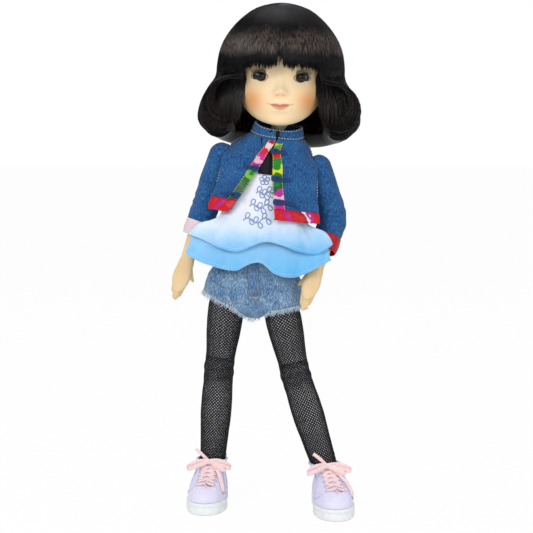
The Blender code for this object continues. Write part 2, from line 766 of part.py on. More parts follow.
UPPER_RING_SHARES = (
    # height above the sole, front, back and half width as shares of the shoe's
    (0.00, 1.00, 1.00, 1.00),
    (0.22, 1.00, 1.02, 0.97),
    (0.40, 0.93, 1.00, 0.91),
    (0.52, 0.72, 0.98, 0.86),
    (0.66, 0.46, 0.96, 0.83),
    (0.84, 0.34, 0.95, 0.82),
    (1.00, 0.29, 0.94, 0.82),
)


def upper_rings(side, shrink):
    """Rings of the shoe's upper, drawn in by a wall or a clearance."""
    rings = []
    toe = SHOE_LENGTH - HEEL_BACK - SOLE_RIM
    heel = HEEL_BACK - SOLE_RIM
    for height, front, back, width in UPPER_RING_SHARES:
        z = SOLE_THICKNESS + GAP + height * (SHOE_HEIGHT - SOLE_THICKNESS)
        lean = max(0.0, z - ANKLE_HEIGHT) * SHIN_SLOPE[side]
        ring = shoe_ring(
            z, front * toe - shrink, back * heel - shrink,
            width * (SHOE_HALF_WIDTH - SOLE_RIM) - shrink, -lean.x, -lean.y,
        )
        rings.append(ring)
    return rings


def build_lower_leg(side, vinyl, steel):
    word = WORD[side]
    pivot = "knee_pivot_" + word
    line = "shin_line_" + word
    rings = ball_rings(KNEE_RADIUS, 3, 16)
    for share, front, back in SHIN_RING_SHARES:
        mean = 0.5 * (front + back) * CALF_RADIUS
        rings.append(oval(-share * SHIN_LENGTH, mean, front * CALF_RADIUS, back * CALF_RADIUS, 16))
    leg = build("lower_leg_" + word, *loft(rings, [(0, 0, KNEE_RADIUS)]), vinyl, line)
    foot = upper_rings(side, SHOE_WALL + 2 * SLIDE)[:5]
    sink = [GAP] + [-1.9 * SHOE_WALL] * 4
    foot = [[p + Vector((0, 0, drop)) for p in ring] for ring, drop in zip(foot, sink)]
    boolean(leg, guide("foot_" + word, *loft(foot), "foot_line_" + word), "UNION")
    half = 0.5 * KNEE_TONGUE_THICKNESS + GAP
    seat = rod(KNEE_TONGUE_RADIUS + GAP, -half, half, "X", 15)
    boolean(leg, guide("knee_seat_" + word, *seat, pivot))
    start = math.radians(-36)
    wedge = sector(KNEE_RADIUS + OVERRUN, start, start + KNEE_ROOM)
    boolean(leg, guide("knee_slot_" + word, *prism(wedge, -half, half, "X"), pivot))
    pin_half = 0.5 * KNEE_PIN_LENGTH
    bore = rod(KNEE_PIN_RADIUS + GAP, -pin_half - OVERRUN, pin_half + OVERRUN, "X", 12)
    boolean(leg, guide("knee_bore_" + word, *bore, pivot))
    build("knee_pin_" + word, *rod(KNEE_PIN_RADIUS, -pin_half, pin_half, "X", 12), steel, pivot)


KNEE_ROOM = math.radians(168)


# Head. Heights are counted from the neck ball, and the face looks along -Y.

HEAD_RING_SHARES = (
    # height, half width, front, back
    (0.000, 0.30, 0.62, 0.16),
    (0.030, 0.50, 0.83, 0.26),
    (0.080, 0.66, 0.92, 0.40),
    (0.150, 0.78, 0.95, 0.56),
    (0.250, 0.89, 0.97, 0.74),
    (0.350, 0.955, 0.97, 0.87),
    (0.460, 0.99, 0.95, 0.96),
    (0.560, 1.00, 0.96, 1.00),
    (0.670, 0.985, 0.97, 0.99),
    (0.770, 0.92, 0.91, 0.93),
    (0.860, 0.79, 0.78, 0.80),
    (0.930, 0.60, 0.58, 0.61),
    (0.980, 0.34, 0.33, 0.34),
    (1.000, 0.12, 0.12, 0.12),
)


def bump(x, z, x0, z0, width, height):
    return math.exp(-((x - x0) / width) ** 2 - ((z - z0) / height) ** 2)


def face_relief(x, z):
    """How far the face stands out from the plain egg, at a place across and up."""
    eye = EYE_HEIGHT
    relief = NOSE_REACH * bump(x, z, 0, NOSE_HEIGHT, 0.09 * HEAD_HALF_WIDTH, 0.05 * HEAD_HEIGHT)
    bridge = 0.5 * (NOSE_HEIGHT + eye)
    relief += 0.45 * NOSE_REACH * bump(x, z, 0, bridge, 0.08 * HEAD_HALF_WIDTH, 0.10 * HEAD_HEIGHT)
    relief += LIP_REACH * bump(x, z, 0, MOUTH_HEIGHT, 0.26 * HEAD_HALF_WIDTH, 0.035 * HEAD_HEIGHT)
    for side in SIDES:
        socket = bump(x, z, side * EYE_SPACING_HALF, eye, 0.24 * HEAD_HALF_WIDTH, 0.075 * HEAD_HEIGHT)
        relief -= 0.50 * NOSE_REACH * socket
        cheek = bump(x, z, side * 0.55 * HEAD_HALF_WIDTH, 0.26 * HEAD_HEIGHT, 0.30 * HEAD_HALF_WIDTH, 0.13 * HEAD_HEIGHT)
        relief += 0.35 * NOSE_REACH * cheek
    chin = bump(x, z, 0, 0.05 * HEAD_HEIGHT, 0.28 * HEAD_HALF_WIDTH, 0.06 * HEAD_HEIGHT)
    return relief + 0.30 * NOSE_REACH * chin


def head_rings(grow, sides, rows, features):
    """Level rings of the head. A height of zero is the chin's."""
    rings = []
    for k in range(rows):
        share = 0.5 - 0.5 * math.cos(math.pi * (k + 0.35) / (rows - 0.3))
        row = blend(HEAD_RING_SHARES, share)
        z = share * HEAD_HEIGHT
        ring = oval(
            z, row[1] * HEAD_HALF_WIDTH + grow, row[2] * HEAD_FRONT + grow,
            row[3] * HEAD_BACK + grow, sides, 0.92,
        )
        for p in ring:
            if features and p.y < 0:
                facing = min(1.0, -p.y / (0.5 * HEAD_FRONT))
                p.y -= face_relief(p.x, z) * facing
            under = max(0.0, 1 - share / 0.30) * min(1.0, max(0.0, 1 + p.y / HEAD_FRONT))
            p.z += -CHIN_DROP + grow * (2 * share - 1) + JAW_RISE * under
        rings.append(ring)
    return rings


def eye_outline(side, grow):
    """An almond with its outer corner a little higher."""
    outline = []
    for i in range(12):
        angle = math.tau * i / 12
        x = math.cos(angle)
        lift = 0.12 * side * x
        z = math.sin(angle) * (1 - 0.35 * x * x) + lift
        outline.append((
            side * EYE_SPACING_HALF + x * (EYE_HALF_WIDTH + grow),
            EYE_HEIGHT - CHIN_DROP + z * (EYE_HALF_HEIGHT + grow),
        ))
    return outline


def build_head(vinyl, glass, nylon):
    post = build("neck_post", *ball(NECK_BALL, 14, 8), nylon, "neck_pivot")
    low = -NECK_BALL - SLIDE * 6 - NECK_POST_LENGTH + SLIDE
    shaft = guide("neck_shaft", *rod(NECK_POST_RADIUS, low, 0, "Z"), "neck_pivot")
    boolean(post, shaft, "UNION")

    shell = build("head_shell", *loft(head_rings(0, 24, 15, True)), vinyl, "head_pivot")
    inner = head_rings(-HEAD_WALL - NOSE_REACH * 0.4, 12, 7, False)
    boolean(shell, guide("head_hollow", *loft(inner), "head_pivot"))
    seat_radius = NECK_BALL + GAP + HEAD_WALL
    seat = rod(seat_radius, -NECK_SEAT_DROP, NECK_BALL, "Z", 16)
    boolean(shell, guide("neck_seat", *seat, "head_pivot"), "UNION")
    boolean(shell, guide("neck_room", *ball(NECK_BALL + GAP, 14, 8), "head_pivot"))
    vent = rod(0.5 * NECK_BALL, 0.3 * NECK_BALL, NECK_BALL + OVERRUN, "Z", 12)
    boolean(shell, guide("neck_vent", *vent, "head_pivot"))
    mouth_low = NECK_POST_RADIUS + 2.4 * NECK_SEAT_DROP * math.tan(NOD_ROOM)
    rings = [oval(-0.3 * NECK_BALL, mouth_low * 0.8, mouth_low * 0.8, mouth_low * 0.8, 18)]
    low = -NECK_SEAT_DROP - CHIN_DROP - OVERRUN
    rings.append(oval(low, mouth_low * 1.5, mouth_low * 1.5, mouth_low * 1.5, 18))
    boolean(shell, guide("neck_mouth", *loft(rings), "head_pivot"))
    for side in SIDES:
        word = WORD[side]
        place = (side * EYE_SPACING_HALF, -EYE_DEPTH, EYE_HEIGHT - CHIN_DROP)
        hole = prism(eye_outline(side, 0), -HEAD_FRONT - OVERRUN, -EYE_DEPTH, "Y")
        boolean(shell, guide("eye_hole_" + word, *hole, "head_pivot"))
        room = ball(EYE_RADIUS + GAP, 12, 8, place)
        boolean(shell, guide("eye_room_" + word, *room, "head_pivot"))
        build("eye_" + word, *ball(EYE_RADIUS, 12, 8, place), glass, "head_pivot")


NECK_SEAT_DROP = 0.0048
NOD_ROOM = math.radians(20)


# Wig, in the head's frame

WIG_RING_SHARES = (
    # height down from the crown's top as a share of the crown, half width, front, back
    (0.00, 0.14, 0.14, 0.14),
    (0.08, 0.40, 0.42, 0.42),
    (0.18, 0.57, 0.60, 0.60),
    (0.33, 0.75, 0.77, 0.79),
    (0.51, 0.90, 0.87, 0.93),
    (0.69, 0.976, 0.91, 1.01),
    (0.84, 1.00, 0.92, 1.05),
    (1.00, 1.017, 0.92, 1.08),
)


def build_wig(hair):
    rings = []
    for height, width, front, back in WIG_RING_SHARES:
        rings.append(oval(
            HAIR_TOP - height * WIG_HEIGHT, width * HAIR_HALF_WIDTH,
            front * HAIR_HALF_DEPTH, back * HAIR_HALF_DEPTH, 24, 0.95,
        ))
    crown = build("hair_crown", *loft(rings), hair, "head_pivot")
    low = HAIR_TOP - WIG_HEIGHT - OVERRUN
    outline = [(-WINDOW_HALF_WIDTH, low), (WINDOW_HALF_WIDTH, low),
               (WINDOW_HALF_WIDTH, WINDOW_TOP), (-WINDOW_HALF_WIDTH, WINDOW_TOP)]
    opening = prism(outline, -HAIR_HALF_DEPTH - OVERRUN, -0.30 * HEAD_FRONT, "Y")
    boolean(crown, guide("face_window", *opening, "head_pivot"))
    core = loft(head_rings(GAP + EAR_REACH * 0.4, 18, 10, False))
    boolean(crown, guide("wig_seat", *core, "head_pivot"))

    rows = []
    for share in (0.0, 0.5, 1.0):
        row = []
        for i in range(15):
            across = 2 * i / 14 - 1
            angle = across * FRINGE_HALF_ANGLE
            notch = 1 - 0.45 * share * math.exp(-((across + 0.14) / 0.12) ** 2)
            ragged = 1 - 0.06 * share * (i % 2)
            z = WINDOW_TOP - SLIDE - share * notch * ragged * FRINGE_DROP
            row.append(Vector((
                FRINGE_REACH * HEAD_HALF_WIDTH * math.sin(angle), -FRINGE_REACH * HEAD_FRONT * math.cos(angle), z,
            )))
        rows.append(row)
    cloth("hair_fringe", rows, FRINGE_THICKNESS, hair, "head_pivot")

    for name, start, end, count in WIG_LOCKS:
        rows = []
        for reach, height in CURL_PROFILE_SHARES:
            row = []
            for i in range(count):
                angle = start + (end - start) * i / (count - 1)
                wave = 1 + 0.012 * math.cos(7 * angle)
                out = LOCK_REACH * reach * wave
                z = LOCK_TOP - height * LOCK_DROP
                if z < 0:
                    z *= 1 - 0.36 * math.exp(-((abs(angle) - 0.5 * math.pi) / 0.55) ** 2)
                row.append(Vector((out * math.sin(angle), -0.93 * out * math.cos(angle), z)))
            rows.append(row)
        cloth(name, rows, HAIR_THICKNESS, hair, "head_pivot")


WINDOW_HALF_WIDTH = 0.0315
WINDOW_TOP = 0.0500
FRINGE_DROP = 0.0150
FRINGE_REACH = 1.22
FRINGE_HALF_ANGLE = 0.74
CURL_PROFILE_SHARES = (
    # reach from the head's axis, height down from the crown as a share of the lock
    (0.788, 0.00),
    (0.892, 0.18),
    (0.965, 0.36),
    (1.000, 0.57),
    (0.975, 0.71),
    (0.900, 0.86),
    (0.830, 0.97),
    (0.740, 1.00),
    (0.650, 0.92),
    (0.620, 0.78),
)
WIG_LOCKS = (
    ("hair_curl_right", math.radians(-112), math.radians(-42), 8),
    ("hair_curl_left", math.radians(42), math.radians(112), 8),
    ("hair_back", math.radians(114), math.radians(246), 13),
)


# Clothes, in the torso's frame. A half plan runs from the front centre round to the back centre.

CHEST_PLAN_SHARES = (
    # across and forward, as shares of the torso's half width and half depth
    (0.00, 1.36), (0.42, 1.36), (0.84, 1.27), (1.20, 1.04), (1.40, 0.74),
    (1.22, 0.34), (1.12, -0.30), (0.94, -0.94), (0.50, -1.24), (0.00, -1.30),
)
HEM_PLAN_SHARES = (
    (0.00, 1.95), (0.50, 1.93), (1.00, 1.80), (1.42, 1.42), (1.66, 1.06),
    (1.30, 0.52), (1.13, -0.20), (0.98, -0.90), (0.55, -1.30), (0.00, -1.38),
)
COLLAR_PLAN_SHARES = (
    (0.00, 1.02), (0.30, 1.01), (0.56, 0.88), (0.72, 0.58), (0.78, 0.22),
    (0.78, -0.10), (0.72, -0.45), (0.56, -0.74), (0.28, -0.90), (0.00, -0.94),
)
SHOULDER_PLAN_SHARES = (
    (0.00, 1.16), (0.36, 1.16), (0.72, 1.04), (1.00, 0.78), (1.17, 0.40),
    (1.22, 0.00), (1.17, -0.40), (0.94, -0.80), (0.48, -1.04), (0.00, -1.10),
)
JACKET_LEVEL_SHARES = (
    # height down from the collar seam as a share of the jacket, and the plans mixed there
    (0.00, COLLAR_PLAN_SHARES, COLLAR_PLAN_SHARES, 0.0),
    (0.07, COLLAR_PLAN_SHARES, SHOULDER_PLAN_SHARES, 0.55),
    (0.16, COLLAR_PLAN_SHARES, SHOULDER_PLAN_SHARES, 1.0),
    (0.30, SHOULDER_PLAN_SHARES, CHEST_PLAN_SHARES, 1.0),
    (0.50, CHEST_PLAN_SHARES, HEM_PLAN_SHARES, 0.15),
    (0.70, CHEST_PLAN_SHARES, HEM_PLAN_SHARES, 0.45),
    (0.86, CHEST_PLAN_SHARES, HEM_PLAN_SHARES, 0.80),
    (1.00, CHEST_PLAN_SHARES, HEM_PLAN_SHARES, 1.0),
)


def plan_point(plan, turnabout):
    """Point of a half plan, from 0 at the front centre to 1 at the back centre, on a smooth curve."""
    place = turnabout * (len(plan) - 1)
    k = min(int(place), len(plan) - 2)
    t = place - k
    quad = [plan[max(0, k - 1)], plan[k], plan[k + 1], plan[min(len(plan) - 1, k + 2)]]
    weights = (
        -0.5 * t + t * t - 0.5 * t ** 3,
        1 - 2.5 * t * t + 1.5 * t ** 3,
        0.5 * t + 2 * t * t - 1.5 * t ** 3,
        -0.5 * t * t + 0.5 * t ** 3,
    )
    return [sum(w * p[axis] for w, p in zip(weights, quad)) for axis in range(len(quad[0]))]


def plan_row(plan_a, plan_b, mix, z, starts, side, count, out=0.0):
    """A row of points round one side, between two turnabouts."""
    row = []
    for i in range(count):
        place = starts[0] + (starts[1] - starts[0]) * i / (count - 1)
        a = plan_point(plan_a, place)
        b = plan_point(plan_b, place)
        across = (a[0] + (b[0] - a[0]) * mix) * TORSO_HALF_WIDTH
        forward = (a[1] + (b[1] - a[1]) * mix) * TORSO_HALF_DEPTH
        length = math.hypot(across, forward)
        across += out * across / length
        forward += out * forward / length
        row.append(Vector((side * across, -forward, z)))
    return row


SIDE_SEAM = 0.560


def front_edge(side, share):
    """Turnabout of a front panel's free edge at a share of the way to the hem."""
    closed, open_hem = FRONT_EDGE_SHARES[side]
    return closed + (open_hem - closed) * max(0.0, share - 0.10) / 0.90


FRONT_EDGE_SHARES = {RIGHT: (0.012, 0.205), LEFT: (0.012, 0.012)}


def neckline(row, share):
    """Sets a row by the collar over the neck, and lets it rise round the sides and back."""
    near = max(0.0, 1 - share / JACKET_LEVEL_SHARES[2][0])
    for p in row:
        front = max(0.0, -p.y / TORSO_HALF_DEPTH)
        p.x += NECK_SIDE * near
        p.z += near * (NECKLINE_RISE - NECKLINE_DIP * front * front)
    return row


def jacket_row(side, share, start_of, end_of, count, out=0.0):
    """A row across the jacket at a height, on the surface between the two nearest levels."""
    for upper, lower in zip(JACKET_LEVEL_SHARES, JACKET_LEVEL_SHARES[1:]):
        if share <= lower[0]:
            break
    t = (share - upper[0]) / (lower[0] - upper[0])
    pair = []
    for level, plan_a, plan_b, mix in (upper, lower):
        z = TORSO_LENGTH - level * JACKET_LENGTH
        ends = (start_of(level), end_of(level))
        pair.append(neckline(plan_row(plan_a, plan_b, mix, z, ends, side, count, out), level))
    return [a + (b - a) * t for a, b in zip(*pair)]


def jacket_rows(side, start_of, end_of, count, out=0.0, shares=None):
    shares = shares or [level[0] for level in JACKET_LEVEL_SHARES]
    return [jacket_row(side, share, start_of, end_of, count, out) for share in shares]


def build_jacket(denim, satin, thread):
    seam = 0.004
    back = []
    for share, plan_a, plan_b, mix in JACKET_LEVEL_SHARES:
        z = TORSO_LENGTH - share * JACKET_LENGTH
        near = plan_row(plan_a, plan_b, mix, z, (SIDE_SEAM + seam, 1.0), RIGHT, 7)
        far = plan_row(plan_a, plan_b, mix, z, (SIDE_SEAM + seam, 1.0), LEFT, 7)
        back.append(neckline(near + far[::-1][1:], share))
    panels = [cloth("jacket_back", back, DENIM, denim, "torso_frame")]
    for side in SIDES:
        word = WORD[side]
        rows = jacket_rows(side, lambda s: front_edge(side, s), lambda s: SIDE_SEAM - seam, 13)
        panels.append(cloth("jacket_front_" + word, rows, DENIM, denim, "torso_frame"))
    for panel in panels:
        for side in SIDES:
            hole = GUIDES["armhole_" + WORD[side]]
            boolean(panel, hole)

    collar = []
    for share, lean in ((1.0, 0.88), (0.0, 1.0)):
        row = []
        z = TORSO_LENGTH + GAP
        right = plan_row(COLLAR_PLAN_SHARES, COLLAR_PLAN_SHARES, 0, z, (0.03, 1.0), RIGHT, 13)
        left = plan_row(COLLAR_PLAN_SHARES, COLLAR_PLAN_SHARES, 0, z, (0.03, 1.0), LEFT, 13)
        for p in neckline(right + left[::-1][1:], 0.0):
            front = max(0.0, -p.y / TORSO_HALF_DEPTH) ** 2
            x = NECK_SIDE + (p.x - NECK_SIDE) * lean
            row.append(Vector((x, p.y * lean, p.z + share * COLLAR_HEIGHT * (1 - 0.20 * front))))
        collar.append(row)
    cloth("jacket_collar", collar, DENIM, denim, "torso_frame")

    for side in SIDES:
        word = WORD[side]
        shares = [level[0] for level in JACKET_LEVEL_SHARES[2:-1]]
        width = FACING_WIDTH / (1.5 * math.pi * TORSO_HALF_WIDTH)
        rows = jacket_rows(
            side, lambda s: front_edge(side, s), lambda s: front_edge(side, s) + width, 4,
            GAP + SATIN, shares,
        )
        cloth("front_facing_" + word, rows, SATIN, satin, "torso_frame")
        shares = (1 - HEM_TRIM_HEIGHT / JACKET_LENGTH, 1.0)
        rows = jacket_rows(
            side, lambda s: front_edge(side, s), lambda s: SIDE_SEAM - seam, 13, GAP + SATIN, shares,
        )
        cloth("hem_trim_" + word, [row[:9] for row in rows], SATIN, satin, "torso_frame")
    for name, side, share, start, end in FROG_SHARES:
        lift = 2 * GAP + SATIN + 0.56 * FROG_DEPTH
        spots = jacket_row(
            side, share, lambda s: front_edge(side, s) + start, lambda s: front_edge(side, s) + end,
            len(FROG_RING_SHARES), lift,
        )
        rings = []
        for spot, girth in zip(spots, FROG_RING_SHARES):
            half = 0.5 * FROG_HEIGHT * girth
            ring = oval(0, 0.5 * FROG_DEPTH * girth, half, half, 6)
            rings.append([Vector((0, p.x, p.y)) + spot for p in ring])
        build(name, *loft(rings), thread, "torso_frame")


FROG_RING_SHARES = (0.60, 1.05, 0.95, 0.55, 0.50, 0.60, 0.40)
FROG_SHARES = (
    # name, side, height down the jacket, start and end past the panel's free edge
    ("frog_left_upper", LEFT, 0.24, 0.000, 0.110),
    ("frog_left_middle", LEFT, 0.58, 0.000, 0.125),
    ("frog_left_lower", LEFT, 0.83, 0.000, 0.140),
    ("frog_right_upper", RIGHT, 0.43, 0.010, 0.110),
    ("frog_right_lower", RIGHT, 0.80, 0.010, 0.120),
)


def sleeve_rings(side, grow):
    """Rings down a sleeve from its rounded cap, in the upper arm's frame."""
    rings = []
    for k in range(1, 5):
        angle = 0.5 * math.pi * k / 4
        r = (SLEEVE_CAP + grow) * math.sin(angle)
        rings.append(oval((SLEEVE_CAP + grow) * math.cos(angle), r, r, r, 16))
    for share, girth in SLEEVE_RING_SHARES:
        r = girth * SLEEVE_RADIUS + grow
        rings.append(oval(-share * UPPER_ARM_LENGTH, r, r, r, 16))
    return rings


SLEEVE_RING_SHARES = ((0.30, 1.00), (0.58, 1.02))


def build_sleeves(denim, satin):
    for side in SIDES:
        word = WORD[side]
        arm = "upper_arm_pivot_" + word
        rings = sleeve_rings(side, 0)
        cap = cloth("sleeve_cap_" + word, rings, DENIM, denim, arm, True)
        inward = -side
        cut = rod(0.62 * SLEEVE_CAP, inward * 0.35 * SLEEVE_CAP, inward * 1.5 * SLEEVE_CAP, "X", 14)
        boolean(cap, guide("cap_mouth_" + word, *cut, arm))
        home = WORLD[arm].inverted() @ WORLD["hand_pivot_" + word]
        top = UPPER_ARM_LENGTH * (1 - SLEEVE_RING_SHARES[-1][0]) - GAP
        end = SLEEVE_LENGTH - UPPER_ARM_LENGTH
        r = 1.02 * SLEEVE_RADIUS
        lower = []
        for above in (top, 0.35 * SLEEVE_RADIUS):
            lower.append(oval(above - UPPER_ARM_LENGTH, r, r, r, 16))
        crease = []
        for p in oval(0, r, r, r, 16):
            near = p - Vector((0, 0, UPPER_ARM_LENGTH))
            crease.append(0.5 * (near + home @ p))
        lower.append(crease)
        for below in (0.35 * SLEEVE_RADIUS, end):
            lower.append([home @ p for p in oval(-below, r, r, r, 16)])
        cloth("sleeve_" + word, lower, DENIM, denim, arm, True)
        z = -(SLEEVE_LENGTH - UPPER_ARM_LENGTH) - GAP
        rings = []
        for share, girth in ((0.0, 0.99), (0.5, 0.94), (1.0, 0.90)):
            r = girth * SLEEVE_RADIUS
            rings.append(oval(z - share * CUFF_HEIGHT, r, r, r, 16))
        cloth("cuff_trim_" + word, rings, SATIN, satin, "forearm_pivot_" + word, True)


def build_armholes():
    """Guides that keep the jacket clear of the sleeves."""
    for side in SIDES:
        word = WORD[side]
        rings = sleeve_rings(side, SLIDE)
        last = rings[-1]
        rings.append([p + Vector((0, 0, -UPPER_ARM_LENGTH)) for p in last])
        GUIDES["armhole_" + word] = guide(
            "armhole_" + word, *loft(rings), "upper_arm_pivot_" + word,
        )


# Top

BUST_PLAN_SHARES = (
    # across, forward, and drop of the edge in millimetre shares of the layer's height
    (0.00, 1.24, 0.00), (0.42, 1.22, 0.00), (0.76, 1.04, 0.00), (0.97, 0.66, 0.00), (1.06, 0.26, 0.00),
    (1.07, -0.16, 0.00), (1.00, -0.58, 0.00), (0.76, -0.94, 0.00), (0.40, -1.12, 0.00), (0.00, -1.16, 0.00),
)
WAIST_PLAN_SHARES = (
    (0.00, 1.62, 0.00), (0.45, 1.62, 0.00), (0.88, 1.50, 0.00), (1.18, 1.24, 0.00), (1.30, 0.96, 0.00),
    (1.12, 0.56, 0.00), (1.04, 0.00, 0.00), (0.92, -0.74, 0.00), (0.52, -1.14, 0.00), (0.00, -1.20, 0.00),
)
BODICE_HEM_SHARES = (
    (0.00, 2.00, -0.06), (0.60, 2.00, 0.06), (1.18, 1.82, 0.14), (1.72, 1.60, -0.02), (2.10, 1.42, -0.18),
    (1.48, 1.34, -0.22), (1.44, 0.60, -0.10), (1.28, -0.84, 0.00), (0.68, -1.44, 0.00), (0.00, -1.54, 0.00),
)
RUFFLE_TOP_SHARES = (
    (0.00, 1.38, 0.00), (0.45, 1.38, 0.00), (0.84, 1.26, 0.00), (1.04, 1.04, 0.00), (1.10, 0.76, 0.00),
    (1.06, 0.40, 0.00), (1.04, -0.10, 0.00), (0.92, -0.70, 0.00), (0.46, -1.00, 0.00), (0.00, -1.06, 0.00),
)
RUFFLE_HEM_SHARES = (
    (0.00, 1.86, -0.12), (0.60, 1.86, 0.14), (1.18, 1.70, 0.06), (1.70, 1.56, -0.14), (2.16, 1.48, -0.36),
    (1.36, 1.30, -0.32), (1.32, 0.46, -0.30), (1.30, -0.84, -0.08), (0.70, -1.48, 0.00), (0.00, -1.54, 0.00),
)


def flared_rows(levels, top, length, pleats):
    """Closed rows of a layer that flares from plan to plan, with pleats that deepen to its hem."""
    rows = []
    for share, plan_a, plan_b, mix in levels:
        halves = []
        for side in SIDES:
            half = []
            for i in range(FLARE_HALF_SIDES):
                place = i / (FLARE_HALF_SIDES - 1)
                a = plan_point(plan_a, place)
                b = plan_point(plan_b, place)
                fold = PLEAT_DEPTH * share * mix * math.cos(pleats * math.tau * place)
                across, forward, drop = (u + (v - u) * mix for u, v in zip(a, b))
                reach = math.hypot(across, forward)
                x = across * TORSO_HALF_WIDTH + fold * across / reach
                y = forward * TORSO_HALF_DEPTH + fold * forward / reach
                half.append(Vector((side * x, -y, top - (share + drop) * length)))
            halves.append(half)
        rows.append(halves[0] + halves[1][-2:0:-1])
    return rows


FLARE_HALF_SIDES = 17
PLEAT_DEPTH = 0.0010


def build_top(cotton, voile):
    levels = (
        (0.00, BUST_PLAN_SHARES, BUST_PLAN_SHARES, 0.0),
        (0.30, BUST_PLAN_SHARES, WAIST_PLAN_SHARES, 0.35),
        (0.62, BUST_PLAN_SHARES, WAIST_PLAN_SHARES, 1.0),
        (0.80, WAIST_PLAN_SHARES, BODICE_HEM_SHARES, 0.66),
        (1.00, WAIST_PLAN_SHARES, BODICE_HEM_SHARES, 1.0),
    )
    rows = flared_rows(levels, BODICE_TOP, BODICE_LENGTH, 5)
    bodice = cloth("top_bodice", rows, COTTON, cotton, "torso_frame", True)
    levels = (
        (0.00, RUFFLE_TOP_SHARES, RUFFLE_TOP_SHARES, 0.0),
        (0.46, RUFFLE_TOP_SHARES, RUFFLE_HEM_SHARES, 0.28),
        (1.00, RUFFLE_TOP_SHARES, RUFFLE_HEM_SHARES, 1.0),
    )
    rows = flared_rows(levels, RUFFLE_TOP, RUFFLE_HEIGHT, 6)
    ruffle = cloth("top_ruffle", rows, COTTON, voile, "torso_frame", True)
    return bodice, ruffle


# Shorts, leggings and shoes

def build_shorts(washed):
    rows = []
    for height, across, forward, backward in SHORTS_LEVEL_SHARES:
        rows.append(oval(
            height * SHORTS_WAIST, across * PELVIS_HALF_WIDTH + SHORTS_EASE,
            forward * TORSO_HALF_DEPTH + SHORTS_EASE, backward * TORSO_HALF_DEPTH + SHORTS_EASE, 22, 0.9,
        ))
    seat = cloth("shorts_seat", rows, DENIM, washed, "torso_frame", True)
    for side in SIDES:
        word = WORD[side]
        pivot = "thigh_pivot_" + word
        rows = [shorts_leg_ring(side, *row, 0) for row in SHORTS_LEG_SHARES]
        cloth("shorts_leg_" + word, rows, DENIM, washed, pivot, True)
        high, slant, girth = SHORTS_LEG_SHARES[0]
        rings = [
            shorts_leg_ring(side, high + 0.06, slant, girth, SLIDE),
            shorts_leg_ring(side, -2.0, 0, 1.22, SLIDE),
        ]
        boolean(seat, guide("leg_way_" + word, *loft(rings), pivot))


SHORTS_LEG_SHARES = (
    # height of the ring's middle, its rise towards the outside, girth
    (-0.46, 0.32, 1.16),
    (-0.72, 0.36, 1.18),
    (-0.98, 0.42, 1.20),
)


def shorts_leg_ring(side, height, slant, girth, grow):
    """A ring round the thigh that rises towards its outer side."""
    r = girth * (THIGH_RADIUS + SHORTS_EASE) + grow
    ring = []
    for p in oval(0, r, r, r, 18):
        outward = side * p.x / r
        ring.append(Vector((p.x, p.y, (height + slant * outward) * SHORTS_LEG_LENGTH)))
    return ring


SHORTS_LEVEL_SHARES = (
    # height above the hips as a share of the rise, half width, front, back
    (1.00, 0.84, 0.98, 1.04),
    (0.66, 0.97, 1.03, 1.14),
    (0.32, 1.13, 1.08, 1.22),
    (0.02, 1.16, 1.10, 1.22),
    (-0.22, 1.12, 1.06, 1.16),
    (-0.42, 0.74, 0.90, 1.00),
    (-0.56, 0.08, 0.50, 0.60),
)


def build_legging(side, net):
    word = WORD[side]
    pivot = "thigh_pivot_" + word
    flat_end = THIGH_LENGTH - KNEE_RADIUS - GAP
    grow = LEGGING_EASE + NET
    rings = []
    start = LEGGING_TOP / flat_end
    for share, radius in ((start, 1.00),) + THIGH_RING_SHARES[2:]:
        r = radius * THIGH_RADIUS + grow
        rings.append(oval(-share * flat_end, r, r, r * 1.02, 16))
    knee = WORLD["knee_pivot_" + word]
    line = WORLD["shin_line_" + word]
    home = WORLD[pivot].inverted()
    r = KNEE_RADIUS + grow
    rings.append([home @ knee @ p for p in oval(0, r * 1.03, r * 1.06, r, 16)])
    for share, front, back in SHIN_RING_SHARES[:-2]:
        mean = 0.5 * (front + back) * CALF_RADIUS + grow
        ring = oval(
            -share * SHIN_LENGTH, mean, front * CALF_RADIUS + grow, back * CALF_RADIUS + grow, 16,
        )
        rings.append([home @ line @ p for p in ring])
    cloth("legging_" + word, rings, NET, net, pivot, True)


def build_shoe(side, upper, rubber, ribbon):
    word = WORD[side]
    pivot = "foot_line_" + word
    toe = SHOE_LENGTH - HEEL_BACK
    edge = 0.12 * SOLE_THICKNESS
    rings = [
        shoe_ring(0, toe - edge, HEEL_BACK - edge, SHOE_HALF_WIDTH - edge),
        shoe_ring(edge, toe, HEEL_BACK, SHOE_HALF_WIDTH),
        shoe_ring(SOLE_THICKNESS - edge, toe, HEEL_BACK, SHOE_HALF_WIDTH),
        shoe_ring(SOLE_THICKNESS, toe - edge, HEEL_BACK - edge, SHOE_HALF_WIDTH - edge),
    ]
    build("shoe_sole_" + word, *loft(rings), rubber, pivot)
    cloth("shoe_upper_" + word, upper_rings(side, 0), SHOE_WALL, upper, pivot, True)

    lace = build("lace_" + word, *lace_strip(side, 0.47, 0.93, 0.5 * LACE_WIDTH, 0.2, 0.8), ribbon, pivot)
    for k, share in enumerate(LACE_BAR_SHARES):
        bar = lace_strip(side, share - 0.04, share + 0.04, LACE_BAR_SHARE * SHOE_HALF_WIDTH, 0.0, 1.0)
        boolean(lace, guide("lace_bar_%s_%d" % (word, k), *bar, pivot), "UNION")
    spot = instep_point(side, 0.90, LACE_WIDTH)
    knot = ball(0.85 * LACE_WIDTH, 8, 5, spot)
    boolean(lace, guide("lace_knot_" + word, *knot, pivot), "UNION")
    for hand in SIDES:
        boolean(lace, guide("lace_loop_%s_%d" % (word, hand), *bow_loop(spot, hand), pivot), "UNION")


LACE_BAR_SHARE = 0.34
LACE_BAR_SHARES = (0.52, 0.64, 0.76)


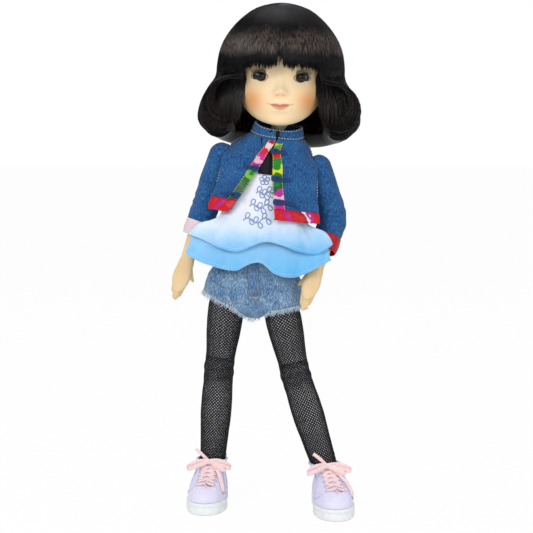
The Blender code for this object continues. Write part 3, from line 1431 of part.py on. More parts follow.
def lace_strip(side, low, high, half, start, end):
    """A flat ribbon over the instep between two heights, from start to end of its thickness."""
    rings = []
    for share in (low, 0.5 * (low + high), high):
        ring = []
        for x, out in ((-half, start), (half, start), (half, end), (-half, end)):
            ring.append(instep_point(side, share, GAP + out * LACE_THICKNESS) + Vector((x, 0, 0)))
        rings.append(ring)
    return loft(rings)


def bow_loop(spot, hand):
    """A ribbon loop of a bow, held open beside the knot."""
    steps = 9
    drop = Vector((0, -0.10 * BOW_LOOP, -0.10 * BOW_LOOP))
    middle = Vector(spot) + Vector((hand * BOW_LOOP * 0.5, 0, 0)) + drop
    points = []
    for side, grow in ((1, 1), (-1, 1), (-1, -1), (1, -1)):
        for i in range(steps):
            angle = math.tau * (i + 0.5) / steps
            long = 0.5 * BOW_LOOP + grow * 0.5 * LACE_THICKNESS
            tall = 0.28 * BOW_LOOP + grow * 0.5 * LACE_THICKNESS
            points.append(middle + Vector((
                hand * long * math.cos(angle), side * 0.42 * LACE_WIDTH, tall * math.sin(angle),
            )))
    faces = []
    for k in range(4):
        for i in range(steps):
            j = (i + 1) % steps
            a = k * steps
            b = (k + 1) % 4 * steps
            faces.append((a + i, a + j, b + j, b + i))
    return points, faces


def instep_point(side, share, out):
    """Front centre of the upper at a share of its height, moved outwards along its slope."""
    toe = SHOE_LENGTH - HEEL_BACK - SOLE_RIM
    rise = SHOE_HEIGHT - SOLE_THICKNESS
    for lower, upper in zip(UPPER_RING_SHARES, UPPER_RING_SHARES[1:]):
        if share <= upper[0]:
            break
    t = (share - lower[0]) / (upper[0] - lower[0])
    z = SOLE_THICKNESS + GAP + share * rise
    lean = max(0.0, z - ANKLE_HEIGHT) * SHIN_SLOPE[side]
    along = Vector((0, (lower[1] - upper[1]) * toe, (upper[0] - lower[0]) * rise)).normalized()
    y = -(lower[1] + (upper[1] - lower[1]) * t) * toe
    return Vector((-lean.x, y - lean.y - out * along.z, z + out * along.y))


EMPTIES = {}
WORLD = {}
GUIDES = {}
SHIN_SLOPE = {}


def main():
    for old in list(bpy.data.objects):
        bpy.data.objects.remove(old, do_unlink=True)
    vinyl = finish("moulded_vinyl", "#e9cfa6", 0.55)
    nylon = finish("hub_nylon", "#d8d2c4", 0.45)
    glass = finish("eye_acrylic", "#1b120e", 0.08)
    hair = finish("wig_fibre", "#0f0c0c", 0.40)
    denim = finish("blue_denim", "#24609a", 0.90)
    satin = finish("printed_satin", "#d40a1c", 0.45)
    thread = finish("frog_cord", "#1c3f72", 0.80)
    cotton = finish("white_cotton", "#eef0fa", 0.85)
    voile = finish("blue_voile", "#6fb9ee", 0.80)
    washed = finish("washed_denim", "#5c7fa3", 0.92)
    net = finish("black_net", "#0b0d16", 0.80)
    steel = finish("pin_steel", "#b9bcc0", 0.30, 1.0)
    leather = finish("lilac_leather", "#dedaf2", 0.50)
    rubber = finish("white_sole", "#e6ebe8", 0.60)
    ribbon = finish("pink_lace", "#f6cfd0", 0.70)

    build_skeleton()
    build_torso(vinyl)
    build_head(vinyl, glass, nylon)
    build_wig(hair)
    build_armholes()
    for side in SIDES:
        build_shoulder(side, vinyl, nylon)
        build_elbow(side, nylon)
        build_forearm(side, vinyl)
        build_hip(side, vinyl, nylon)
        build_lower_leg(side, vinyl, steel)
        build_legging(side, net)
        build_shoe(side, leather, rubber, ribbon)
    build_jacket(denim, satin, thread)
    build_sleeves(denim, satin)
    build_top(cotton, voile)
    build_shorts(washed)


main()
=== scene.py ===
"""Dressed fashion doll: vinyl body, black bob wig, denim jacket, ruffled top, frayed shorts,
net leggings and laced shoes, in a white studio.

Sizes are in metres, the doll faces -Y, and its own right side is at -X.
"""
import math
import random

import bmesh
import bpy
import numpy as np
from mathutils import Matrix, Vector, noise
from mathutils.bvhtree import BVHTree


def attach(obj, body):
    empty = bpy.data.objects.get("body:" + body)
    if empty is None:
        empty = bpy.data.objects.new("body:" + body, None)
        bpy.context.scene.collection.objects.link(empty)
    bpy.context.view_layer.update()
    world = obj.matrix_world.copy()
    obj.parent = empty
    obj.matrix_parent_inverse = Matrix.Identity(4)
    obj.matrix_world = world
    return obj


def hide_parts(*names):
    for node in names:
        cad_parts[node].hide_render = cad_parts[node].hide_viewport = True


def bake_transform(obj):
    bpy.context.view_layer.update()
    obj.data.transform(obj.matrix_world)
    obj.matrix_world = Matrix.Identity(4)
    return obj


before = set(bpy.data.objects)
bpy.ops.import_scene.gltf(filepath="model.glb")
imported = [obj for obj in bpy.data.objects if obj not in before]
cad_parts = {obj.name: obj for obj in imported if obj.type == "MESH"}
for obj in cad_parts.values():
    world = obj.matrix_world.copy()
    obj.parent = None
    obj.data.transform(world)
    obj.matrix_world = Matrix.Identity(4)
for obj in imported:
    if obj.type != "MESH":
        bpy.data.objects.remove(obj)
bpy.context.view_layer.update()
for stray in ("Cube", "Light", "Camera"):
    if stray in bpy.data.objects:
        bpy.data.objects.remove(bpy.data.objects[stray])
random.seed(7)

RIGHT = -1
LEFT = 1
SIDES = (RIGHT, LEFT)
WORD = {RIGHT: "right", LEFT: "left"}
MM = 0.001

# Stance, as the solids have it
STAND = (0.002045, -0.0005)
PELVIS_X = -0.0098
ANKLE_HEIGHT = 0.0220
TORSO_LEAN = math.radians(7.2)
HEAD_TILT = math.radians(2.0)
THIGH_LEAN = {RIGHT: math.radians(6.9), LEFT: math.radians(12.4)}
LEG_FORWARD = {RIGHT: math.radians(-2.5), LEFT: math.radians(4.0)}
SHIN_LEAN_RIGHT = math.radians(4.1)
TOE_OUT = {RIGHT: math.radians(6.0), LEFT: math.radians(7.0)}
ARM_LEAN = {RIGHT: math.radians(18.0), LEFT: math.radians(17.2)}
ARM_BACK = {RIGHT: 0.0, LEFT: math.radians(7.0)}
FOREARM_LEAN = {RIGHT: math.radians(19.0), LEFT: math.radians(-18.5)}
FOREARM_FORWARD = {RIGHT: math.radians(4.0), LEFT: math.radians(23.5)}

TORSO_LENGTH = 0.1147
SHOULDER_HALF_SPACING = 0.0360
SHOULDER_DROP = 0.0150
HIP_HALF_SPACING = 0.0190
THIGH_LENGTH = 0.0600
SHIN_LENGTH = 0.0800
UPPER_ARM_LENGTH = 0.0400
FOREARM_LENGTH = 0.0440
PALM_LENGTH = 0.0165
FINGER_LENGTH = 0.0155
NECK_HEIGHT = 0.0150
NECK_SIDE = 0.0028
TORSO_HALF_WIDTH = 0.0250
TORSO_HALF_DEPTH = 0.0155
PELVIS_HALF_WIDTH = 0.0300
THIGH_RADIUS = 0.0130
KNEE_RADIUS = 0.0105
CALF_RADIUS = 0.0115
ARM_RADIUS = 0.0062


def shift(x, y, z):
    return Matrix.Translation((x, y, z))


def turn(angle, axis):
    return Matrix.Rotation(angle, 4, axis)


def direction(lean, forward, side):
    """Downward unit vector that leans outwards and forwards."""
    x = side * math.sin(lean)
    y = -math.sin(forward)
    return Vector((x, y, -math.sqrt(1 - x * x - y * y)))


PLACE = {}
SHIN_SLOPE = {}


def place(name, parent, local):
    PLACE[name] = PLACE[parent] @ local if parent else local


def set_skeleton():
    """Where each limb starts and points. A limb's own -Z runs along it."""
    drop = THIGH_LENGTH * -direction(THIGH_LEAN[RIGHT], LEG_FORWARD[RIGHT], RIGHT).z
    drop += SHIN_LENGTH * -direction(SHIN_LEAN_RIGHT, LEG_FORWARD[RIGHT], RIGHT).z
    pelvis_height = ANKLE_HEIGHT + drop - HIP_HALF_SPACING * math.sin(TORSO_LEAN)
    place("stand", None, shift(*STAND, 0))
    place("torso", "stand", shift(PELVIS_X, 0, pelvis_height) @ turn(TORSO_LEAN, "Y"))
    place("neck", "torso", shift(NECK_SIDE, 0, TORSO_LENGTH + NECK_HEIGHT))
    place("head", "neck", turn(HEAD_TILT - TORSO_LEAN, "Y"))
    for side in SIDES:
        word = WORD[side]
        shoulder = shift(side * SHOULDER_HALF_SPACING, 0, TORSO_LENGTH - SHOULDER_DROP)
        arm = PLACE["torso"].to_3x3().inverted() @ direction(ARM_LEAN[side], -ARM_BACK[side], side)
        swing = math.atan2(arm.y, -arm.z)
        place("arm_" + word, "torso", shoulder @ turn(swing, "X") @ turn(math.asin(-arm.x), "Y"))
        forearm = direction(FOREARM_LEAN[side], FOREARM_FORWARD[side], side)
        local = PLACE["arm_" + word].to_3x3().inverted() @ forearm
        twist = math.atan2(local.x, -local.y)
        bend = -math.acos(max(-1.0, min(1.0, -local.z)))
        elbow = shift(0, 0, -UPPER_ARM_LENGTH) @ turn(twist, "Z")
        place("forearm_" + word, "arm_" + word, elbow @ turn(bend, "X"))
        place("hand_" + word, "forearm_" + word, turn(-twist, "Z"))

        thigh = PLACE["torso"].to_3x3().inverted() @ direction(THIGH_LEAN[side], LEG_FORWARD[side], side)
        hip = shift(side * HIP_HALF_SPACING, 0, 0) @ turn(math.atan2(-thigh.x, -thigh.z), "Y")
        place("thigh_" + word, "torso", hip @ turn(math.asin(thigh.y), "X"))
        place("knee_" + word, "thigh_" + word, shift(0, 0, -THIGH_LENGTH))
        knee = PLACE["knee_" + word]
        if side == RIGHT:
            lean = SHIN_LEAN_RIGHT
        else:
            level = math.sqrt(1 - ((knee.translation.z - ANKLE_HEIGHT) / SHIN_LENGTH) ** 2)
            lean = math.asin(math.sqrt(max(0.0, level ** 2 - math.sin(LEG_FORWARD[side]) ** 2)))
        shin = direction(lean, LEG_FORWARD[side], side)
        local = knee.to_3x3().inverted() @ shin
        outward = math.atan2(-local.x, -local.z)
        place("shin_" + word, "knee_" + word, turn(outward, "Y") @ turn(math.asin(local.y), "X"))
        ankle = knee.translation + shin * SHIN_LENGTH
        foot = shift(ankle.x, ankle.y, 0) @ turn(side * TOE_OUT[side], "Z")
        PLACE["foot_" + word] = foot
        SHIN_SLOPE[side] = (foot.to_3x3().inverted() @ shin).xy / -shin.z


set_skeleton()


# Meshes

def piece(name, points, faces, material, body, stands_for=(), corners=None):
    """A mesh from points in the doll's frame. It rides on a body and can stand for solids."""
    mesh = bpy.data.meshes.new(name)
    mesh.from_pydata([tuple(p) for p in points], [], faces)
    if corners is not None:
        layer = mesh.uv_layers.new(name="cloth_mm")
        layer.data.foreach_set("uv", np.array(corners, np.float32).ravel())
    mesh.shade_smooth()
    body_piece = bpy.data.objects.new(name, mesh)
    bpy.context.scene.collection.objects.link(body_piece)
    mesh.materials.append(material)
    if stands_for:
        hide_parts(*stands_for)
    if body:
        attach(body_piece, body)
    return body_piece


def outwards(thing):
    """Turns a closed mesh's faces outwards."""
    work = bmesh.new()
    work.from_mesh(thing.data)
    bmesh.ops.recalc_face_normals(work, faces=work.faces)
    work.to_mesh(thing.data)
    work.free()


def settle(thing):
    """Applies a piece's modifiers, so that its own mesh holds the result."""
    bpy.context.view_layer.update()
    seen = thing.evaluated_get(bpy.context.evaluated_depsgraph_get())
    mesh = bpy.data.meshes.new_from_object(seen, preserve_all_data_layers=True,
                                           depsgraph=bpy.context.evaluated_depsgraph_get())
    mesh.name = thing.name
    thing.modifiers.clear()
    thing.data = mesh
    return thing


def grid(rows, closed=False):
    """Points, faces, and each corner's place on the surface in millimetres."""
    count = len(rows[0])
    columns = count if closed else count - 1
    middle = rows[len(rows) // 2]
    across = [0.0]
    for i in range(columns):
        across.append(across[-1] + (middle[(i + 1) % count] - middle[i]).length / MM)
    down = [0.0]
    for upper, lower in zip(rows, rows[1:]):
        steps = [(a - b).length for a, b in zip(upper[::5], lower[::5])]
        down.append(down[-1] + sum(steps) / len(steps) / MM)
    faces = []
    corners = []
    for r in range(len(rows) - 1):
        for i in range(columns):
            j = (i + 1) % count
            a = r * count
            faces.append((a + i, a + j, a + count + j, a + count + i))
            corners += [(across[i], -down[r]), (across[i + 1], -down[r]),
                        (across[i + 1], -down[r + 1]), (across[i], -down[r + 1])]
    return [p for row in rows for p in row], faces, corners


def loft(rings, tips=(None, None)):
    """Points and faces of a closed solid through rings of equal count."""
    points, faces, _ = grid(rings, True)
    count = len(rings[0])
    for ring, start, tip in ((rings[0], 0, tips[0]), (rings[-1], (len(rings) - 1) * count, tips[1])):
        points.append(Vector(tip) if tip is not None else sum(ring, Vector()) / count)
        hub = len(points) - 1
        for i in range(count):
            faces.append((start + i, start + (i + 1) % count, hub))
    return points, faces


def moulding(name, rings, material, body, stands_for=(), tips=(None, None)):
    thing = piece(name, *loft(rings, tips), material, body, stands_for)
    outwards(thing)
    return thing


def moved(rows, frame_name):
    """Rows of points taken from one of the skeleton's frames into the world."""
    home = PLACE[frame_name]
    return [[home @ p for p in row] for row in rows]


def fabric(name, rows, thickness, material, body, stands_for=(), closed=False, folds=None):
    """Cloth with its good side out. Folds move a point along its normal, by its place in the grid."""
    points, faces, corners = grid(rows, closed)
    if folds:
        count = len(rows[0])
        normals = surface_normals(rows, closed)
        for k, normal in enumerate(normals):
            points[k] = points[k] + normal * folds(k // count / (len(rows) - 1),
                                                   k % count / (count - 1), points[k])
    thing = piece(name, points, faces, material, None, stands_for, corners)
    middle = sum(points, Vector()) / len(points)
    outward = sum(f.normal.dot(f.center - middle_of_row(rows, f.vertices[0], middle))
                  for f in thing.data.polygons)
    if outward < 0:
        thing.data.flip_normals()
    wall = thing.modifiers.new("wall", "SOLIDIFY")
    wall.thickness = thickness
    wall.offset = -1.0
    settle(thing)
    if body:
        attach(thing, body)
    return thing


def middle_of_row(rows, index, middle):
    row = rows[index // len(rows[0])]
    centre = 0.5 * (row[0] + row[len(row) // 2])
    return Vector((middle.x * 0.5 + centre.x * 0.5, 0.004, centre.z))


def surface_normals(rows, closed):
    """Unit normals of a grid, pointing away from its own axis."""
    count = len(rows[0])
    result = []
    for r, row in enumerate(rows):
        centre = sum(row, Vector()) / count
        centre.y = 0.004
        above = rows[max(0, r - 1)]
        below = rows[min(len(rows) - 1, r + 1)]
        for i in range(count):
            if closed:
                along = row[(i + 1) % count] - row[i - 1]
            else:
                along = row[min(count - 1, i + 1)] - row[max(0, i - 1)]
            normal = along.cross(below[i] - above[i])
            if normal.length < 1e-12:
                normal = row[i] - centre
            normal.normalize()
            if normal.dot(row[i] - centre) < 0:
                normal.negate()
            result.append(normal)
    return result


def oval(z, half_width, front, back, sides, square=1.0):
    """A level ring whose front and back halves have their own depths."""
    ring = []
    for i in range(sides):
        angle = math.tau * i / sides
        s = math.sin(angle)
        c = math.cos(angle)
        depth = front if c > 0 else back
        ring.append(Vector((
            half_width * math.copysign(abs(s) ** square, s), -depth * math.copysign(abs(c) ** square, c), z,
        )))
    return ring


def along(table, share):
    """Row of a table at a place along its first column, on a smooth curve."""
    last = len(table) - 1
    k = 0
    while k < last - 1 and table[k + 1][0] <= share:
        k += 1
    low, high = table[k], table[k + 1]
    step = high[0] - low[0]
    t = min(1.0, max(0.0, (share - low[0]) / step))
    before, after = table[max(0, k - 1)], table[min(last, k + 2)]
    row = []
    for c in range(len(low)):
        start = (high[c] - before[c]) / (high[0] - before[0]) * step
        end = (after[c] - low[c]) / (after[0] - low[0]) * step
        row.append(
            low[c] * (2 * t ** 3 - 3 * t * t + 1) + start * (t ** 3 - 2 * t * t + t)
            + high[c] * (3 * t * t - 2 * t ** 3) + end * (t ** 3 - t * t)
        )
    return row


def smooth(low, high, value):
    t = min(1.0, max(0.0, (value - low) / (high - low)))
    return t * t * (3 - 2 * t)


def ripple(point, size, seed=0.0):
    """Soft noise from -1 to 1 with bumps of a size in metres."""
    return noise.noise(Vector(point) / size + Vector((seed, 2.3 * seed, -seed)))


# Geometry Nodes: threads along paths, and stitches set out along a seam

def add(tree, kind, inputs=None, **settings):
    """Adds a node, sets its inputs or links them to other nodes' sockets, and its settings."""
    made = tree.nodes.new(kind)
    for key, value in settings.items():
        setattr(made, key, value)
    for key, value in (inputs or {}).items():
        if isinstance(value, bpy.types.NodeSocket):
            tree.links.new(value, made.inputs[key])
        else:
            made.inputs[key].default_value = value
    return made


def start_tree(name, sizes):
    tree = bpy.data.node_groups.new(name, "GeometryNodeTree")
    tree.interface.new_socket("Geometry", in_out="INPUT", socket_type="NodeSocketGeometry")
    tree.interface.new_socket("Geometry", in_out="OUTPUT", socket_type="NodeSocketGeometry")
    for size in sizes:
        tree.interface.new_socket(size, in_out="INPUT", socket_type="NodeSocketFloat")
    tree.interface.new_socket("Finish", in_out="INPUT", socket_type="NodeSocketMaterial")
    return tree, tree.nodes.new("NodeGroupInput").outputs


def end_tree(tree, entry, geometry):
    painted = add(tree, "GeometryNodeSetMaterial", {"Geometry": geometry, "Material": entry["Finish"]})
    smoothed = add(tree, "GeometryNodeSetShadeSmooth", {"Geometry": painted.outputs[0]})
    add(tree, "NodeGroupOutput", {0: smoothed.outputs[0]})
    return tree


def thread_tree(name, depth):
    """A thread or fibre along each path, its girth taken from the path's own points. Its depth is
    that of a flat yarn, as a share of its width."""
    tree, entry = start_tree(name, ("Radius", "Sides"))
    path = add(tree, "GeometryNodeMeshToCurve", {"Mesh": entry["Geometry"]})
    if depth < 1:
        path = add(tree, "GeometryNodeSetCurveNormal", {"Curve": path.outputs[0]}, mode="Z_UP")
    girth = add(tree, "GeometryNodeInputNamedAttribute", {"Name": "girth"}, data_type="FLOAT")
    count = add(tree, "FunctionNodeFloatToInt", {0: entry["Sides"]})
    ring = add(tree, "GeometryNodeCurvePrimitiveCircle",
               {"Resolution": count.outputs[0], "Radius": entry["Radius"]})
    flat = add(tree, "GeometryNodeTransform", {"Geometry": ring.outputs["Curve"], "Scale": (depth, 1, 1)})
    inputs = {
        "Curve": path.outputs[0], "Profile Curve": flat.outputs[0],
        "Scale": girth.outputs[0], "Fill Caps": True,
    }
    tube = add(tree, "GeometryNodeCurveToMesh", inputs)
    real = add(tree, "GeometryNodeRealizeInstances", {"Geometry": tube.outputs[0]})
    return end_tree(tree, entry, real.outputs[0])


def stitch_tree():
    """Short round stitches laid end to end along each path, with a gap between them."""
    tree, entry = start_tree("stitches_along_seam", ("Pitch", "Length", "Radius"))
    path = add(tree, "GeometryNodeMeshToCurve", {"Mesh": entry["Geometry"]})
    inputs = {"Curve": path.outputs[0], "Length": entry["Pitch"]}
    spaced = add(tree, "GeometryNodeResampleCurve", inputs, mode="LENGTH")
    heading = add(tree, "GeometryNodeInputTangent")
    aim = add(tree, "FunctionNodeAlignRotationToVector", {"Vector": heading.outputs[0]}, axis="Z")
    dash = add(tree, "GeometryNodeMeshUVSphere", {"Segments": 6, "Rings": 4, "Radius": 1.0})
    size = add(tree, "ShaderNodeCombineXYZ", {0: entry["Radius"], 1: entry["Radius"], 2: entry["Length"]})
    inputs = {
        "Points": spaced.outputs[0], "Instance": dash.outputs[0],
        "Rotation": aim.outputs[0], "Scale": size.outputs[0],
    }
    laid = add(tree, "GeometryNodeInstanceOnPoints", inputs)
    real = add(tree, "GeometryNodeRealizeInstances", {"Geometry": laid.outputs[0]})
    return end_tree(tree, entry, real.outputs[0])


def follow(name, paths, tree, sizes, material, body, stands_for=(), girths=None):
    """Runs a tree over paths of points and keeps the result as a plain mesh."""
    points = []
    edges = []
    girth = []
    for number, path in enumerate(paths):
        start = len(points)
        points += [tuple(p) for p in path]
        edges += [(start + i, start + i + 1) for i in range(len(path) - 1)]
        girth += girths[number] if girths else [1.0] * len(path)
    mesh = bpy.data.meshes.new(name)
    mesh.from_pydata(points, edges, [])
    mesh.attributes.new("girth", "FLOAT", "POINT").data.foreach_set("value", np.array(girth, np.float32))
    thing = bpy.data.objects.new(name, mesh)
    bpy.context.scene.collection.objects.link(thing)
    step = thing.modifiers.new("follow", "NODES")
    step.node_group = tree
    for item in tree.interface.items_tree:
        if item.in_out == "INPUT" and item.name in sizes:
            step[item.identifier] = float(sizes[item.name])
        if item.in_out == "INPUT" and item.name == "Finish":
            step[item.identifier] = material
    settle(thing)
    if not thing.data.materials:
        thing.data.materials.append(material)
    if stands_for:
        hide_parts(*stands_for)
    if body:
        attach(thing, body)
    return thing


THREAD = thread_tree("thread_along_path", 1.0)
FLAT_YARN = thread_tree("flat_yarn_along_path", 0.32)
STITCH = stitch_tree()


# Finishes

def srgb(value):
    """A six-digit hex colour as the linear values that a shader takes."""
    channels = [int(value[i:i + 2], 16) / 255 for i in (1, 3, 5)]
    return [c / 12.92 if c <= 0.04045 else ((c + 0.055) / 1.055) ** 2.4 for c in channels] + [1.0]


def start_finish(name, roughness, **inputs):
    material = bpy.data.materials.new(name)
    material.use_nodes = True
    tree = material.node_tree
    shader = tree.nodes["Principled BSDF"]
    shader.inputs["Roughness"].default_value = roughness
    for key, value in inputs.items():
        shader.inputs[key.replace("_", " ")].default_value = value
    return material, tree, shader


def object_place(tree):
    return add(tree, "ShaderNodeTexCoord").outputs["Object"]


def base_colour(tree, shader, colour):
    tree.links.new(colour, shader.inputs["Base Color"])


def ramp(tree, factor, stops, interpolation="LINEAR"):
    """A colour ramp from (place, hex) stops."""
    made = add(tree, "ShaderNodeValToRGB", {"Fac": factor})
    made.color_ramp.interpolation = interpolation
    while len(made.color_ramp.elements) < len(stops):
        made.color_ramp.elements.new(0.5)
    for element, (spot, colour) in zip(made.color_ramp.elements, stops):
        element.position = spot
        element.color = srgb(colour) if isinstance(colour, str) else (colour, colour, colour, 1)
    return made.outputs[0]


def maths(tree, operation, a, b=0.0, c=0.0):
    return add(tree, "ShaderNodeMath", {0: a, 1: b, 2: c}, operation=operation).outputs[0]


def mix(tree, factor, a, b, blend="MIX"):
    made = add(tree, "ShaderNodeMix", {0: factor}, data_type="RGBA", blend_type=blend)
    for key, value in ((6, a), (7, b)):
        if isinstance(value, bpy.types.NodeSocket):
            tree.links.new(value, made.inputs[key])
        else:
            made.inputs[key].default_value = srgb(value)
    return made.outputs[2]


def relief(tree, shader, height, distance, strength=1.0):
    bump = add(tree, "ShaderNodeBump", {"Height": height, "Distance": distance, "Strength": strength})
    tree.links.new(bump.outputs[0], shader.inputs["Normal"])


def speckle(tree, vector, size, detail=2.0, stretch=(1, 1, 1)):
    """Noise with spots of a size, in the units of its coordinates."""
    placed = add(tree, "ShaderNodeMapping", {"Vector": vector, "Scale": stretch})
    made = add(tree, "ShaderNodeTexNoise", {"Vector": placed.outputs[0], "Scale": 1 / size, "Detail": detail})
    return made.outputs[0]


def vinyl_finish(name, dark, light):
    """Rotocast soft vinyl with airbrushed paint: a satin skin that lets a little light in, with a powder blusher and
    matt coral lips. The same orange paints shade under the nose and in the nostrils, and a paler cream paints a
    highlight on the middle of the face. The grain is the 0.4 mm stipple of the mould."""
    material, tree, shader = start_finish(
        name, 0.46, Subsurface_Weight=0.16, Subsurface_Scale=0.004, Subsurface_Radius=(1.0, 0.55, 0.35),
        Specular_IOR_Level=0.35)
    spot = object_place(tree)
    tone = ramp(tree, speckle(tree, spot, 0.020, 3), ((0.3, dark), (0.7, light)))
    painted = add(tree, "ShaderNodeVertexColor", layer_name="paint")
    parts = add(tree, "ShaderNodeSeparateColor", {0: painted.outputs[0]})
    # Painted highlight: the middle of the face is painted a paler cream.
    face = mix(tree, parts.outputs[2], tone, "#fbe0b6")
    # The orange also carries painted shade under the nose and in the nostrils.
    blushed_and_nose_shaded = mix(tree, parts.outputs[1], face, "#ee9447")
    lips = mix(tree, parts.outputs[0], blushed_and_nose_shaded, "#cf7f68")
    base_colour(tree, shader, lips)
    relief(tree, shader, speckle(tree, spot, 0.0004), 0.00003, 0.35)
    return material


def eye_finish():
    """Cast acrylic: a painted iris under a clear glossy dome. Its whites are painted grey-brown as painted shade from
    the lids.
    """
    material, tree, shader = start_finish("cast_acrylic_eye", 0.06, Coat_Weight=0.45, Coat_Roughness=0.02,
                                          Specular_IOR_Level=0.25)
    spot = add(tree, "ShaderNodeUVMap", uv_map="cloth_mm").outputs[0]
    reach = add(tree, "ShaderNodeVectorMath", {0: spot}, operation="LENGTH").outputs["Value"]
    wedge = add(tree, "ShaderNodeTexNoise", {"Vector": spot, "Scale": 2.2, "Detail": 4.0}).outputs[0]
    far = maths(tree, "MULTIPLY", reach, 0.2)
    # The outer stops paint the whites grey-brown rather than white: painted shade from the lids.
    iris = ramp(tree, far, ((0.0, "#030202"), (0.30, "#040202"), (0.40, "#24100a"), (0.64, "#2c1408"),
                            (0.80, "#0c0504"), (0.89, "#0a0404"), (0.94, "#8b7f79"), (1.0, "#b9aea8")))
    base_colour(tree, shader, mix(tree, maths(tree, "MULTIPLY", wedge, 0.35), iris, "#0a0505"))
    return material


def hair_finish(name, dark, light):
    """Nylon wig fibre: near black. A painted highlight of tight brown-grey sheen lies across the strands on the
    crown, with a fainter painted highlight lower down on the curls.
    """
    material, tree, shader = start_finish(name, 0.25, Specular_IOR_Level=0.20)
    spot = object_place(tree)
    streak = speckle(tree, spot, 0.0022, 3, (1, 1, 0.10))
    fine = speckle(tree, spot, 0.0011, 2, (1, 1, 0.06))
    height = add(tree, "ShaderNodeSeparateXYZ", {0: spot}).outputs[2]
    wander = maths(tree, "MULTIPLY", maths(tree, "SUBTRACT", speckle(tree, spot, 0.016, 2), 0.5), 0.016)
    level = maths(tree, "MULTIPLY", maths(tree, "ADD", height, wander), 2.5)
    # Painted highlight: lighter colour in bands at set heights stands in for the sheen of light on the crown and on
    # the curls.
    painted_sheen_band = ramp(tree, level, ((0.690, "#000000"), (0.735, "#8a8a8a"), (0.790, "#505050"),
                              (0.815, "#000000"), (0.836, "#000000"),
                              (0.850, "#f0f0f0"), (0.868, "#e0e0e0"), (0.888, "#101010"), (0.930, "#000000")))
    lines = maths(tree, "MAXIMUM", maths(tree, "MULTIPLY_ADD", fine, 1.7, -0.55), 0.0)
    painted_sheen = maths(tree, "MULTIPLY", painted_sheen_band, lines)
    colour = mix(tree, painted_sheen, ramp(tree, streak, ((0.35, dark), (0.68, light))), "#84736a")
    base_colour(tree, shader, colour)
    relief(tree, shader, speckle(tree, spot, 0.0008, 2, (1, 1, 0.08)), 0.0003, 0.6)
    return material


VINYL = vinyl_finish("painted_soft_vinyl", "#e8c793", "#f0d5a4")
# The legs' vinyl is painted paler and greyer than the body's: painted light that lifts the shade in the net's gaps.
LIT_LEG_VINYL = vinyl_finish("leg_vinyl_painted_light", "#e6e1de", "#f2eeec")
EYE = eye_finish()
FIBRE = hair_finish("nylon_wig_fibre", "#030303", "#0b0808")
LINING = hair_finish("wig_underlayer", "#030203", "#090606")


def steel_finish():
    """Bright drawn steel pin: grey, with fine lines along it."""
    material, tree, shader = start_finish("drawn_steel", 0.28, Metallic=1.0)
    spot = object_place(tree)
    line = speckle(tree, spot, 0.0005, 2, (0.1, 1, 1))
    base_colour(tree, shader, ramp(tree, line, ((0.3, "#a9adb2"), (0.7, "#c6c9cc"))))
    return material


def nylon_finish():
    """Injection moulded nylon joint piece: off-white, slightly waxy."""
    material, tree, shader = start_finish("moulded_nylon", 0.42, Subsurface_Weight=0.1,
                                          Subsurface_Scale=0.002)
    spot = object_place(tree)
    tone = ramp(tree, speckle(tree, spot, 0.003), ((0.3, "#d2ccbd"), (0.7, "#ded8cb")))
    base_colour(tree, shader, tone)
    return material


def dress_solids():
    """The body's own solids keep their shape and take the real finish; the thighs take the leg vinyl, painted paler
    as painted light under the net.
    """
    nylon = nylon_finish()
    steel = steel_finish()
    for name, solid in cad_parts.items():
        finish = VINYL
        # Painted light: the thighs under the net take the paler leg vinyl.
        if name.startswith("thigh_"):
            finish = LIT_LEG_VINYL
        if "hub" in name or name == "neck_post":
            finish = nylon
        if "pin" in name:
            finish = steel
        solid.data.materials.clear()
        solid.data.materials.append(finish)


dress_solids()


# Head. Heights are counted from the chin, and the face looks along -Y.

HEAD_HALF_WIDTH = 0.0335
HEAD_FRONT = 0.0330
HEAD_BACK = 0.0380
HEAD_HEIGHT = 0.0800
CHIN_DROP = 0.0050
JAW_RISE = 0.0070
EYE_SPACING_HALF = 0.0143
EYE_HEIGHT = 0.0374
EYE_HALF_WIDTH = 0.0052
EYE_HALF_HEIGHT = 0.0034
EYE_RADIUS = 0.0090
NOSE_TIP_MM = 27.4
UNDER_NOSE_MM = 2.7
MOUTH_HEIGHT = 0.0166
SOCKET_RADIUS = 0.0074
LID_TAPER = 0.30
EYE_TILT = 0.14
HEAD_RING_SHARES = (
    # height, half width, front, back
    (0.000, 0.30, 0.62, 0.16),
    (0.030, 0.50, 0.83, 0.26),
    (0.080, 0.66, 0.92, 0.40),
    (0.150, 0.78, 0.95, 0.56),
    (0.250, 0.89, 0.97, 0.74),
    (0.350, 0.955, 0.97, 0.87),
    (0.460, 0.99, 0.95, 0.96),
    (0.560, 1.00, 0.96, 1.00),
    (0.670, 0.985, 0.97, 0.99),
    (0.770, 0.92, 0.91, 0.93),
    (0.860, 0.79, 0.78, 0.80),
    (0.930, 0.60, 0.58, 0.61),
    (0.980, 0.34, 0.33, 0.34),
    (1.000, 0.12, 0.12, 0.12),
)
FACE_BUMPS_MM = (
    # across, up, width, height, how far it stands out; mirrored where across isn't 0
    (0.0, NOSE_TIP_MM, 3.6, 3.4, 3.7),
    (3.7, 25.9, 2.3, 2.0, 1.5),
    (2.3, 24.0, 0.9, 0.7, -1.0),
    (0.0, 32.6, 2.9, 7.0, 1.3),
    (0.0, 21.2, 1.1, 2.2, -0.3),
    (0.0, 15.3, 10.0, 4.6, 1.5),
    (0.0, 13.6, 5.2, 1.5, 1.0),
    (0.0, 17.2, 6.0, 1.0, 0.7),
    (9.6, 16.9, 1.4, 1.5, -0.8),
    (0.0, 9.6, 6.0, 1.6, -0.5),
    (14.3, 37.4, 8.0, 6.0, -2.0),
    (18.4, 20.6, 10.0, 10.0, 1.5),
    (0.0, 4.0, 9.4, 4.8, 1.3),
)


